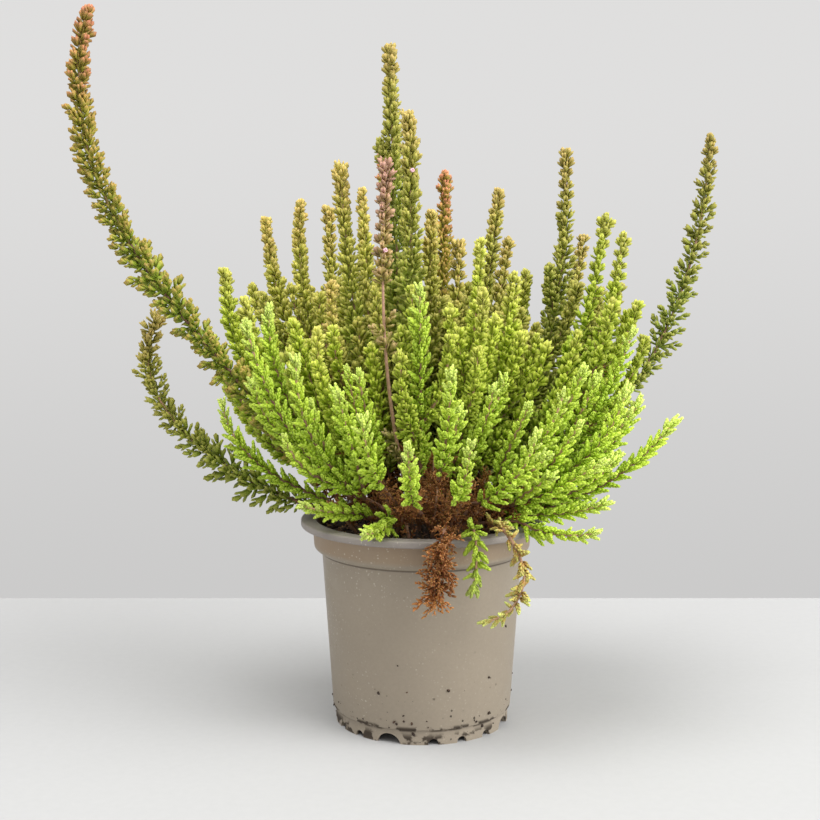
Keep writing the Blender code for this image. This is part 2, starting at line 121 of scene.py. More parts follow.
# Stems
ROOT_DEPTH = 6.0
STAND = 2.2
BASE_SHARE = 0.28
BASE_REACH = 27.0
HANDLE = 0.38
CURVE_POINTS = 25
FINE_POINTS = 100
FINE_STEP = 0.5
KNOT_STEPS = 12
SPRAY_BARE = 6.0

# Each stem: tip x, y, z, then how far it leans outwards from upright where it leaves the compost
# and at its tip, in degrees, and its foliage
STEMS = {
    "tall_left": (-117, -14, 256, 33, -14, "bronze"),
    "low_left": (-98, 4, 150, 80, -28, "olive"),
    "left_back_a": (-76, 30, 167, 50, 0, "green"),
    "left_back_b": (-66, 10, 156, 44, 12, "green"),
    "lime_left_low": (-72, -14, 121, 66, 8, "lime"),
    "lime_left_a": (-61, -30, 150, 52, 12, "lime"),
    "lime_left_b": (-55, -12, 154, 44, -2, "lime"),
    "left_mid_a": (-62, 48, 187, 34, 6, "olive"),
    "left_mid_b": (-47, 32, 193, 38, -4, "olive"),
    "lime_front_left": (-43, -40, 139, 56, -4, "lime"),
    "mid_left_a": (-38, 64, 191, 36, 2, "olive"),
    "mid_left_b": (-31, 22, 205, 20, 6, "olive"),
    "mid_left_c": (-24, 66, 199, 34, 4, "olive"),
    "tall_middle_a": (-12, 18, 249, 8, 3, "olive"),
    "tall_middle_b": (-5, 2, 223, 4, 2, "olive"),
    "orange_tip": (-14, 44, 212, 18, 4, "bronze"),
    "pink_stem": (-13, -15, 205, 20, -4, "pink"),
    "middle_a": (4, 40, 189, 14, 4, "olive"),
    "middle_b": (10, 62, 205, 24, 2, "bronze"),
    "middle_c": (14, 18, 177, 10, 2, "olive"),
    "right_mid_a": (31, 52, 198, 26, 12, "olive"),
    "right_mid_b": (21, -4, 178, 14, 2, "green"),
    "right_mid_c": (33, 22, 179, 20, 10, "olive"),
    "right_mid_d": (33, -8, 166, 24, 4, "green"),
    "right_mid_e": (41, 36, 166, 38, 2, "green"),
    "tall_right_mid": (55, 30, 212, 44, -4, "olive"),
    "right_side_shoot": (66, 56, 180, 42, 12, "olive"),
    "right_a": (68, 8, 187, 46, 8, "green"),
    "right_b": (72, -8, 180, 54, 6, "green"),
    "right_c": (74, -22, 147, 58, 18, "lime"),
    "tall_right": (118, 64, 221, 75, 1, "olive"),
    "lime_right_a": (70, -34, 128, 62, 12, "lime"),
    "lime_right_b": (78, -14, 122, 66, 20, "lime"),
    "lime_right_long": (90, -18, 115, 80, 34, "lime"),
    "low_right_a": (59, -46, 80, 76, 70, "lime"),
    "low_right_b": (65, -29, 87, 78, 66, "lime"),
    "low_right_c": (62, -36, 103, 68, 52, "lime"),
    "front_left_a": (-37, -22, 147, 30, -4, "green"),
    "front_left_b": (-33, 2, 163, 24, -4, "olive"),
    "front_middle_a": (-1, -36, 163, 22, 2, "lime"),
    "front_middle_b": (9, -60, 136, 42, 8, "lime"),
    "front_right_a": (21, -28, 161, 24, 2, "green"),
    "front_right_b": (47, -47, 128, 50, 18, "lime"),
    "front_right_c": (37, -60, 116, 56, 20, "lime"),
    "front_low_a": (-5, -69, 113, 58, 18, "lime"),
    "front_low_b": (-20, -60, 121, 50, 12, "lime"),
    "front_low_c": (15, -70, 114, 60, 20, "lime"),
    "skirt_left_a": (-42, -38, 88, 70, 66, "lime"),
    "skirt_left_b": (-20, -57, 82, 74, 74, "lime"),
    "back_a": (-48, 66, 160, 40, 4, "green"),
    "back_b": (-12, 70, 146, 46, 8, "green"),
    "back_c": (26, 72, 165, 40, 4, "olive"),
    "back_d": (56, 66, 146, 48, 12, "green"),
}

# Sprays that hang over the rim or lie dead on the compost: points along the stem from the
# compost outwards, then the foliage
SPRAYS = {
    "dry_tuft_hanging": (
        ((7, -29), (8, -37, 80), (7, -46, 80.5), (6, -51.5, 76), (5, -52, 69), (4, -52, 62),
         (3, -51.5, 56)),
        "brown",
    ),
    "dry_curl_hanging": (
        ((22, -24), (25, -34, 80), (28, -45, 80), (32, -51, 74), (34, -52, 66), (32, -51, 58),
         (27, -50.5, 52), (20, -50.5, 50)),
        "ochre",
    ),
    "green_sprig_hanging": (
        ((15, -28), (16, -38, 80), (17.5, -47, 80), (18, -52, 74), (17.5, -52, 66),
         (16.5, -51, 60)),
        "lime",
    ),
    "dead_spray_left": (((-9, -26), (-8, -30, 79), (-6, -33, 84), (-3, -34, 91)), "brown"),
    "dead_spray_right": (((13, -22), (16, -25, 80), (20, -27, 84), (24, -27, 90)), "brown"),
}

# Sprigs by foliage: length near the tip, length low down, and the distance below the tip over
# which one passes into the other
SPRIG_REACH = {
    "olive": (5.0, 8.6, 70.0),
    "bronze": (6.2, 9.5, 95.0),
    "pink": (5.2, 8.0, 90.0),
    "green": (4.8, 7.4, 55.0),
    "lime": (4.6, 6.9, 30.0),
    "brown": (6.2, 7.2, 12.0),
    "tuft": (6.4, 9.4, 6.0),
    "ochre": (5.0, 6.0, 60.0),
}

# Stems with longer sprigs than the rest, and how much longer
STOUT_STEMS = {
    "tall_left": 1.12, "low_left": 1.2, "tall_middle_a": 1.12, "tall_middle_b": 1.15,
    "mid_left_a": 1.1, "mid_left_b": 1.12, "middle_a": 1.1,
}

# Stems that stand apart from the rest, and so bear no side shoots or spurs
LONE_STEMS = (
    "tall_left", "low_left", "tall_right", "lime_right_long", "lime_left_low", "lime_left_a",
    "pink_stem",
)

# Length from its foot on which a stem is nearly bare
SPARSE_STEMS = {"pink_stem": 86.0}

# Length from its foot on which a stem's leaves have withered, and those that differ from it
WITHERED_REACH = 15.0
LONG_WITHERED = {
    "front_low_a": 35.0, "front_low_b": 31.0, "front_low_c": 32.0, "front_middle_a": 20.0,
    "front_middle_b": 31.0, "front_right_c": 22.0, "skirt_left_a": 8.0, "skirt_left_b": 8.0,
}

# How much lighter or darker than the rest a stem's leaves are painted: painted light on stems
# that the lamps leave in shade, such as those at the left back, and painted shade on those
# that the key light reaches most, such as the tall right ones.
STEM_PAINTED_LIGHT = {
    name: lift
    for lift, names in (
        (0.4, ("dry_tuft_hanging",)),
        (0.38, ("left_mid_a", "left_mid_b")),
        (0.28, ("mid_left_a", "mid_left_b", "mid_left_c")),
        (0.25, ("front_left_b",)),
        (0.2, ("lime_right_a", "lime_right_b", "lime_right_long", "front_left_a")),
        (0.2, ("low_right_a", "low_right_b", "low_right_c")),
        (0.15, ("left_back_a", "left_back_b", "orange_tip", "middle_a", "middle_c", "right_mid_b")),
        (0.1, ("front_right_c", "middle_b", "right_mid_d")),
        (0.05, ("dry_curl_hanging",)),
        (-0.05, ("tall_left", "front_middle_a")),
        (-0.08, ("tall_right_mid",)),
        (-0.16, ("tall_right",)),
        (-0.24, ("green_sprig_hanging",)),
    )
    for name in names
}

# How the stems' lines are bent clear of one another, of the compost and of the rim
SPREAD_ROUNDS = 60
SMOOTH_ROUNDS = 2
PUSH_SHARE = 0.35
MOST_MOVE = 1.2
TIP_HOLD = 0.85
BARE_SHARE = 0.12
BARE_CLEAR = 1.8
LEAFY_CLEAR = 2.7
LEAVING_POINTS = 2.0
RIM_CLEAR = 3.1
RIM_INNER = 35.0
RIM_RAMP = 9.0
RIM_OUTER = 47.5

# Seeds, and how far above the foliage's own seed those of its sprays and side shoots start
CRUMB_SEED = 5
LEAF_SEED = 6
FIBRE_SEED = 7
FLECK_SEED = 8
THATCH_SEED = 9
SPRIG_SEED = 31
SPRAY_SEEDS = 100
SIDE_SEEDS = 200
SEED_RANGE = 10000


# Lines of the stems


def mound(share):
    """Height of the compost before its lumps, by the square of the way out to the wall."""
    return SOIL_EDGE + SOIL_RISE * np.clip(1.0 - share, 0.0, 1.0)


def soil_height(x, y):
    return mound((x * x + y * y) / (COLLAR_RADIUS * COLLAR_RADIUS))


def lump(x, y):
    across = np.sin(LUMP_WAVES[0] * x + LUMP_SHIFTS[0])
    return LUMP_HEIGHT * across * np.cos(LUMP_WAVES[1] * y + LUMP_SHIFTS[1])


def outward(angle):
    """The level direction at that angle about +Z."""
    return np.array([math.cos(angle), math.sin(angle), 0.0])


def turned(angle, first, second):
    """The direction that lies at that angle from the first, towards the second."""
    return math.cos(angle) * first + math.sin(angle) * second


def unit(vectors):
    return vectors / np.maximum(np.linalg.norm(vectors, axis=-1, keepdims=True), 1e-9)


def set_in(points, place, across, back, axis):
    """The points moved into the frame of those three directions, at that place."""
    return place + points[:, :1] * across + points[:, 1:2] * back + points[:, 2:] * axis


def line_length(line):
    return np.linalg.norm(np.diff(line, axis=0), axis=1).sum()


def arc_resample(points, count):
    """The same line with its points spaced evenly along it."""
    steps = np.linalg.norm(np.diff(points, axis=0), axis=1)
    along = np.concatenate([[0.0], np.cumsum(steps)])
    wanted = np.linspace(0.0, along[-1], count)
    return np.stack([np.interp(wanted, along, points[:, axis]) for axis in range(3)], axis=1)


def stem_path(tip_x, tip_y, tip_z, rise, lean):
    """A cubic curve from the compost to the tip, in the upright plane through both."""
    tip = np.array([tip_x, tip_y, tip_z], float)
    reach = math.hypot(tip_x, tip_y)
    share = min(BASE_SHARE, BASE_REACH / reach)
    base = np.array([tip_x * share, tip_y * share, 0.0])
    base[2] = soil_height(base[0], base[1]) + STAND
    out = np.array([tip_x, tip_y, 0.0]) / reach
    handle = HANDLE * np.linalg.norm(tip - base)
    first = base + handle * turned(math.radians(rise), UP, out)
    second = tip - handle * turned(math.radians(lean), UP, out)
    t = np.linspace(0.0, 1.0, FINE_POINTS)[:, None]
    curve = (1 - t) ** 3 * base + 3 * t * (1 - t) ** 2 * first
    return arc_resample(curve + 3 * t * t * (1 - t) * second + t**3 * tip, CURVE_POINTS)


def spray_path(points):
    """A smooth line through a hanging or lying spray's own points, from the compost."""
    x, y = points[0]
    knots = np.array([(x, y, soil_height(x, y) + STAND), *points[1:]], float)
    before = np.vstack([2 * knots[0] - knots[1], knots, 2 * knots[-1] - knots[-2]])
    pieces = []
    t = np.linspace(0.0, 1.0, KNOT_STEPS, endpoint=False)[:, None]
    for a, b, c, d in zip(before, before[1:], before[2:], before[3:]):
        bend = (2 * a - 5 * b + 4 * c - d) * t * t + (3 * b - a - 3 * c + d) * t**3
        pieces.append(0.5 * (2 * b + (c - a) * t + bend))
    return arc_resample(np.vstack([*pieces, knots[-1:]]), CURVE_POINTS)


def keep_above(paths):
    """Lifts each line over the compost and over the rim."""
    reach = np.hypot(paths[..., 0], paths[..., 1])
    soil = mound((reach / COLLAR_RADIUS) ** 2)
    ramp = np.clip((reach - RIM_INNER + RIM_RAMP) / RIM_RAMP, 0, 1)
    floor = soil + (RIM_TOP + RIM_CLEAR - soil) * ramp
    leaving = np.minimum(np.arange(paths.shape[1]) / LEAVING_POINTS, 1.0)
    over_soil = (BARE_CLEAR + LUMP_HEIGHT) * (1 - ramp)
    floor = soil + STAND + (floor + over_soil - soil - STAND) * leaving
    lifted = np.maximum(paths[..., 2], floor)
    paths[..., 2] = np.where(reach < RIM_OUTER, lifted, paths[..., 2])
    paths[:, 0, 2] = soil[:, 0] + STAND


def spread(paths, loose):
    """Bends the stems clear of one another, round after round. Tips move least."""
    count, points, _ = paths.shape
    along = np.linspace(0.0, 1.0, points)
    clear = np.tile(np.where(along < BARE_SHARE, BARE_CLEAR, LEAFY_CLEAR), count)
    ease = np.tile(1.0 - TIP_HOLD * along**3, count) * np.repeat(loose, points)
    owner = np.repeat(np.arange(count), points)
    need = (clear[:, None] + clear[None, :]) * (owner[:, None] != owner[None, :])
    for _ in range(SPREAD_ROUNDS):
        flat = paths.reshape(-1, 3)
        apart = flat[:, None, :] - flat[None, :, :]
        distance = np.sqrt((apart**2).sum(axis=2)) + 1e-6
        push = np.clip(need - distance, 0.0, None) / distance
        move = (apart * push[:, :, None]).sum(axis=1) * PUSH_SHARE
        move = (move * ease[:, None]).reshape(paths.shape)
        size = np.linalg.norm(move, axis=2, keepdims=True)
        move *= np.minimum(1.0, MOST_MOVE / np.maximum(size, 1e-6))
        for _ in range(SMOOTH_ROUNDS):
            move[:, 1:-1] = 0.25 * move[:, :-2] + 0.5 * move[:, 1:-1] + 0.25 * move[:, 2:]
        paths = paths + move
        keep_above(paths)
    return paths


@lru_cache(maxsize=1)
def stem_lines():
    """Every stem's line, name by name, after they are bent clear of one another. The sprays
    push the stems away but keep their own lines."""
    paths = [stem_path(*row[:5]) for row in STEMS.values()]
    paths = np.array(paths + [spray_path(points) for points, _ in SPRAYS.values()])
    bent = spread(paths, np.repeat([1.0, 0.0], [len(STEMS), len(SPRAYS)]))
    bent[len(STEMS):] = paths[len(STEMS):]
    return dict(zip([*STEMS, *SPRAYS], bent))


def other_lines(name):
    """Points of every stem but this one, close together."""
    lines = stem_lines()
    others = [arc_resample(line, FINE_POINTS) for key, line in lines.items() if key != name]
    return np.vstack(others)


# Tools for modelling


def clear_selection():
    if bpy.context.mode != "OBJECT":
        bpy.ops.object.mode_set(mode="OBJECT")
    bpy.ops.object.select_all(action="DESELECT")


def make_active(obj):
    clear_selection()
    obj.select_set(True)
    bpy.context.view_layer.objects.active = obj


def new_primitive(add, **settings):
    """Adds a primitive with nothing else selected, and returns it with its place in its mesh."""
    clear_selection()
    add(**settings)
    bpy.ops.object.transform_apply(location=True, rotation=True, scale=True)
    return bpy.context.object


def new_cylinder(sides, radius, depth, place, rotation=(0, 0, 0)):
    """A cylinder, by its sizes and the place of its middle in millimetres."""
    return new_primitive(
        bpy.ops.mesh.primitive_cylinder_add, vertices=sides, radius=radius * MM,
        depth=depth * MM, location=[value * MM for value in place], rotation=rotation,
    )


def pick(obj, kind, parts, test):
    """In edit mode, selects those parts of the mesh that pass the test, and nothing else."""
    bpy.ops.mesh.select_mode(type=kind)
    bpy.ops.mesh.select_all(action="DESELECT")
    shape = bmesh.from_edit_mesh(obj.data)
    for part in getattr(shape, parts):
        part.select = bool(test(part))
    if kind == "VERT":
        shape.select_flush(True)
    bmesh.update_edit_mesh(obj.data)


def pick_verts(obj, test):
    """Selects the vertices whose place in millimetres passes the test."""
    pick(obj, "VERT", "verts", lambda vertex: test(vertex.co / MM))


def pick_edges(obj, test):
    """Selects the edges whose two ends both pass the test."""
    pick(obj, "EDGE", "edges", lambda edge: all(test(end.co / MM) for end in edge.verts))


def pick_faces(obj, test):
    """Selects the faces whose middle in millimetres and normal pass the test."""
    pick(obj, "FACE", "faces", lambda face: test(face.calc_center_median() / MM, face.normal))


def apply_modifier(obj, kind, **settings):
    make_active(obj)
    modifier = obj.modifiers.new(kind.lower(), kind)
    for key, value in settings.items():
        setattr(modifier, key, value)
    bpy.ops.object.modifier_apply(modifier=modifier.name)


def taken_apart(obj):
    """A small model's points in millimetres and its triangles. The model itself is removed."""
    points = np.array([vertex.co[:] for vertex in obj.data.vertices]) / MM
    triangles = np.array([face.vertices[:] for face in obj.data.polygons])
    bpy.data.objects.remove(obj)
    return points, triangles


def settle(obj, name, finishes, slot, *nodes):
    """Names a finished piece, gives it its finishes, and seats it on the frame."""
    obj.name = name
    obj.data.name = name
    for finish in finishes:
        obj.data.materials.append(finish)
    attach(obj, "root")
    if nodes:
        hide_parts(*nodes)


# What the materials read at each point of a piece that is made of many small shapes
# The last of these is each stem's painted light and shade.
ATTRIBUTES = ("age", "leaf_tip", "sprig_tip", "chance", "withered", "lift")


class Bits:
    """Many small shapes that are gathered into the mesh of one piece."""

    def __init__(self):
        self.count = 0
        self.points, self.triangles, self.looks = [], [], []
        self.attributes = {name: [] for name in ATTRIBUTES}

    def add(self, points, triangles, look=0, **attributes):
        self.points.append(points)
        self.triangles.append(triangles + self.count)
        self.looks.append(np.full(len(triangles), look))
        self.count += len(points)
        for name, blocks in self.attributes.items():
            values = np.broadcast_to(attributes.get(name, 0.0), len(points))
            blocks.append(values.astype(np.float32))

    def settle(self, name, finishes, slot, *nodes):
        """Makes the piece, with smooth faces and its attributes, and seats it on the frame."""
        triangles = np.vstack(self.triangles).astype(np.int32)
        mesh = bpy.data.meshes.new(name)
        mesh.vertices.add(self.count)
        mesh.vertices.foreach_set("co", (np.vstack(self.points) * MM).astype(np.float32).ravel())
        mesh.loops.add(triangles.size)
        mesh.loops.foreach_set("vertex_index", triangles.ravel())
        mesh.polygons.add(len(triangles))
        starts = np.arange(0, triangles.size, 3, dtype=np.int32)
        mesh.polygons.foreach_set("loop_start", starts)
        looks = np.concatenate(self.looks).astype(np.int32)
        mesh.polygons.foreach_set("material_index", looks)
        mesh.polygons.foreach_set("use_smooth", np.ones(len(triangles), bool))
        mesh.update(calc_edges=True)
        for key, blocks in self.attributes.items():
            layer = mesh.attributes.new(key, "FLOAT", "POINT")
            layer.data.foreach_set("value", np.concatenate(blocks))
        obj = bpy.data.objects.new(name, mesh)
        bpy.context.scene.collection.objects.link(obj)
        settle(obj, name, finishes, slot, *nodes)


# Shader nodes


class Wiring:
    """Adds nodes to a shader tree and joins them as it goes."""

    def __init__(self, tree):
        self.tree = tree

    def give(self, node, inputs):
        """Joins each named input to another node's output, or sets it to a constant."""
        for key, value in inputs.items():
            if isinstance(value, bpy.types.NodeSocket):
                self.tree.links.new(value, node.inputs[key])
            else:
                node.inputs[key].default_value = value

    def add(self, kind, inputs=None, **settings):
        node = self.tree.nodes.new(kind)
        for key, value in settings.items():
            setattr(node, key, value)
        self.give(node, inputs or {})
        return node

    def math(self, operation, first, second=0.0, clamp=False):
        given = {0: first, 1: second}
        return self.add("ShaderNodeMath", given, operation=operation, use_clamp=clamp).outputs[0]

    def times(self, *factors, clamp=False):
        return reduce(lambda first, second: self.math("MULTIPLY", first, second, clamp), factors)

    def plus(self, first, second, clamp=False):
        return self.math("ADD", first, second, clamp)

    def minus(self, first, second):
        return self.math("SUBTRACT", first, second)

    def most(self, *values):
        return reduce(lambda first, second: self.math("MAXIMUM", first, second), values)

    def vector(self, operation, inputs):
        return self.add("ShaderNodeVectorMath", inputs, operation=operation).outputs

    def mix(self, share, first, second):
        given = {0: share, 6: first, 7: second}
        return self.add("ShaderNodeMix", given, data_type="RGBA").outputs[2]

    def ramp(self, value, low, high, start=0.0, end=1.0):
        """The value taken smoothly from one range to another, and held at both ends."""
        given = {"Value": value, "From Min": low, "From Max": high, "To Min": start, "To Max": end}
        return self.add(
            "ShaderNodeMapRange", given, interpolation_type="SMOOTHSTEP"
        ).outputs["Result"]

    def noise(self, place, scale, detail=2.0):
        given = {"Vector": place, "Scale": scale, "Detail": detail}
        return self.add("ShaderNodeTexNoise", given).outputs["Fac"]

    def attribute(self, name):
        return self.add("ShaderNodeAttribute", attribute_name=name).outputs["Fac"]


def new_group(name, inputs, outputs):
    """A shader group with named sockets: its wiring, what it is given, and its output node."""
    group = bpy.data.node_groups.new(name, "ShaderNodeTree")
    for way, sockets in (("INPUT", inputs), ("OUTPUT", outputs)):
        for socket, kind in sockets.items():
            group.interface.new_socket(name=socket, in_out=way, socket_type="NodeSocket" + kind)
    wiring = Wiring(group)
    return wiring, wiring.add("NodeGroupInput").outputs, wiring.add("NodeGroupOutput")


@lru_cache(maxsize=1)
def mottle_group():
    """Colour made lighter and darker by a soft noise."""
    wiring, given, out = new_group(
        "Mottle",
        {"Place": "Vector", "Colour": "Color", "Scale": "Float", "Amount": "Float"},
        {"Colour": "Color", "Height": "Float"},
    )
    noise = wiring.noise(given["Place"], given["Scale"], 4.0)
    swing = wiring.times(wiring.minus(noise, 0.5), given["Amount"])
    level = wiring.plus(wiring.times(swing, 2.0), 1.0)
    colour = wiring.vector("SCALE", {0: given["Colour"], "Scale": level})[0]
    wiring.give(out, {"Colour": colour, "Height": noise})
    return wiring.tree


@lru_cache(maxsize=1)
def speck_group():
    """Ragged specks scattered on a surface: a mask that is one in them and nothing elsewhere."""
    wiring, given, out = new_group(
        "Specks",
        {"Place": "Vector", "Scale": "Float", "Size": "Float", "Share": "Float"},
        {"Mask": "Float"},
    )
    noise = {"Vector": given["Place"], "Scale": 2600.0}
    ragged = wiring.add("ShaderNodeTexNoise", noise).outputs["Color"]
    shift = wiring.vector("SCALE", {0: ragged, "Scale": 0.0007})[0]
    moved = wiring.vector("ADD", {0: given["Place"], 1: shift})[0]
    voronoi = {"Vector": moved, "Scale": given["Scale"]}
    cells = wiring.add("ShaderNodeTexVoronoi", voronoi).outputs
    chance = wiring.add("ShaderNodeSeparateColor", {0: cells["Color"]}).outputs
    kept = wiring.math("LESS_THAN", chance[0], given["Share"])
    size = wiring.times(given["Size"], wiring.plus(chance[1], 0.4))
    soft = wiring.times(wiring.minus(size, cells["Distance"]), 14.0, clamp=True)
    wiring.give(out, {"Mask": wiring.times(soft, kept)})
    return wiring.tree


LEAF_TINTS = ("Young", "Grown", "Old", "Leaf tip", "Withered")


@lru_cache(maxsize=1)
def leaf_group():
    """Leaf colour from the shoot's age, the place on the leaf and sprig, and each leaf's chance,
    with painted shade towards a sprig's foot and a leaf's base, and each stem's painted light
    and shade.
    """
    wiring, given, out = new_group(
        "Leaf tints",
        {"Place": "Vector", **dict.fromkeys(LEAF_TINTS, "Color"), "Tip amount": "Float"},
        {"Colour": "Color", "Roughness": "Float", "Height": "Float"},
    )
    chance, sprig_tip, leaf_tip = map(wiring.attribute, ("chance", "sprig_tip", "leaf_tip"))
    drift = wiring.times(wiring.minus(chance, 0.5), 0.25)
    aged = wiring.plus(wiring.attribute("age"), drift)
    colour = wiring.mix(wiring.ramp(aged, 0.0, 0.42), given["Young"], given["Grown"])
    colour = wiring.mix(wiring.ramp(aged, 0.45, 1.05), colour, given["Old"])
    fresh = wiring.ramp(sprig_tip, 0.45, 1.0)
    point = wiring.ramp(leaf_tip, 0.4, 1.0)
    lasting = wiring.times(given["Tip amount"], wiring.ramp(aged, 0.0, 0.45, 1.4, 0.6))
    outer = wiring.plus(wiring.times(fresh, 0.5), wiring.times(point, 1.2))
    colour = wiring.mix(wiring.times(outer, lasting, clamp=True), colour, given["Leaf tip"])
    colour = wiring.mix(wiring.attribute("withered"), colour, given["Withered"])
    fine = wiring.noise(given["Place"], 1100.0)
    # The level varies the tone at random by chance and fine noise, paints shade towards a sprig's
    # foot and a leaf's base where the leaves crowd, and adds the stem's painted light and shade.
    level = wiring.times(
        wiring.plus(wiring.times(chance, 0.34), 0.8),
        wiring.plus(wiring.attribute("lift"), 1.0),
        wiring.ramp(fine, 0.25, 0.75, 0.93, 1.07),
        wiring.ramp(sprig_tip, 0.0, 0.6, 0.76, 1.0),
        wiring.ramp(leaf_tip, 0.0, 1.0, 0.93, 1.05),
    )
    colour = wiring.vector("SCALE", {0: colour, "Scale": level})[0]
    rough = wiring.ramp(fine, 0.2, 0.8, 0.5, 0.68)
    wiring.give(out, {"Colour": colour, "Roughness": rough, "Height": fine})
    return wiring.tree


def solid(colour):
    return (*colour, 1.0)


class Finish(Wiring):
    """A new material, with the place on the piece that its patterns read."""

    def __init__(self, name):
        self.material = bpy.data.materials.new(name)
        self.material.use_nodes = True
        super().__init__(self.material.node_tree)
        self.place = self.add("ShaderNodeTexCoord").outputs["Object"]

    def effect(self, group, inputs):
        """The outputs of a shader group that is given this place and its own values."""
        given = {"Place": self.place, **inputs}
        return self.add("ShaderNodeGroup", given, node_tree=group).outputs

    def mottled(self, colour, scale, amount):
        return self.effect(mottle_group(), {"Colour": colour, "Scale": scale, "Amount": amount})

    def specks(self, scale, size, share):
        given = {"Scale": scale, "Size": size, "Share": share}
        return self.effect(speck_group(), given)["Mask"]

    def patches(self, scale, detail=2.0):
        return self.noise(self.place, scale, detail)

    def bump(self, height, strength, depth):
        given = {"Height": height, "Strength": strength, "Distance": depth * MM}
        return self.add("ShaderNodeBump", given).outputs[0]

    def done(self, colour, roughness, more=None):
        """Gives the shader its inputs, and returns the material."""
        given = {"Base Color": colour, "Roughness": roughness, **(more or {})}
        self.give(self.tree.nodes["Principled BSDF"], given)
        return self.material


def blended(name, attribute, span, tints, scale, amount):
    """A finish whose mottled colour passes from one tint to the other as an attribute rises,
    with the mottle's outputs."""
    finish = Finish(name)
    share = finish.ramp(finish.attribute(attribute), *span)
    return finish, finish.mottled(finish.mix(share, *map(solid, tints)), scale, amount)


def leaf_material(name, tints, tip_amount):
    """Scale leaves: their tints near the shoot's tip, further down and low down, at their
    points, and once they have withered."""
    finish = Finish(name)
    given = dict(zip(LEAF_TINTS, map(solid, tints)))
    leaf = finish.effect(leaf_group(), {**given, "Tip amount": tip_amount})
    more = {
        "Specular IOR Level": 0.22,
        "Subsurface Weight": 0.2,
        "Subsurface Radius": (0.8, 1.0, 0.3),
        "Subsurface Scale": 0.8 * MM,
        "Normal": finish.bump(leaf["Height"], 0.25, 0.08),
    }
    return finish.done(leaf["Colour"], leaf["Roughness"], more)


def bark_material(name, tints):
    """Thin woody stems: paler near the tip, with fine darker rings and flecks."""
    finish, mottled = blended(name, "age", (0.1, 1.0), tints, 650.0, 0.55)
    rough = finish.bump(mottled["Height"], 0.6, 0.15)
    return finish.done(mottled["Colour"], 0.72, {"Normal": rough})


def litter_material(settings):
    """Fallen dry leaves and bits of stem, each with its own tint."""
    tints = (settings.litter_dark, settings.litter_pale)
    finish, mottled = blended("dry_litter", "chance", (0.1, 0.9), tints, 800.0, 0.5)
    return finish.done(mottled["Colour"], 0.85)


def bud_material(settings):
    """Petals that pale towards their points."""
    tints = (settings.bud_colour, settings.bud_tip)
    finish, mottled = blended("bud_petals", "leaf_tip", (0.2, 0.95), tints, 900.0, 0.3)
    return finish.done(mottled["Colour"], 0.6)


def compost_material(settings):
    """Damp black-brown compost with paler fibres and grit."""
    finish = Finish("compost_crumb")
    mottled = finish.mottled(solid(settings.dark_colour), 420.0, 1.1)
    fibre = finish.ramp(finish.patches(900.0, 3.0), 0.55, 0.7)
    colour = finish.mix(fibre, mottled["Colour"], solid(settings.fibre_colour))
    colour = finish.mix(finish.specks(500.0, 0.3, 0.06), colour, solid(settings.grit_colour))
    return finish.done(colour, 0.92, {"Normal": finish.bump(mottled["Height"], 0.9, 0.5)})


# Films of dirt and painted shade on the pot: height, reach above and below it, where in the
# noise the film starts and where it is full, and its strength. The first is real soil in
# patches just above the foot line that also paints the shade under the ledge there, the
# second is painted shade in the collar's step with some dirt caught in it, and the last is
# real soil on the foot ring.
DIRT_AND_SHADE_FILMS = (
    (FOOT_LINE + 0.2, 1.5, 0.47, 0.53, 0.92),
    (STEP_HEIGHT + 0.4, 0.7, 0.1, 0.4, 0.6),
    (1.6, 3.4, 0.51, 0.56, 0.92),
)


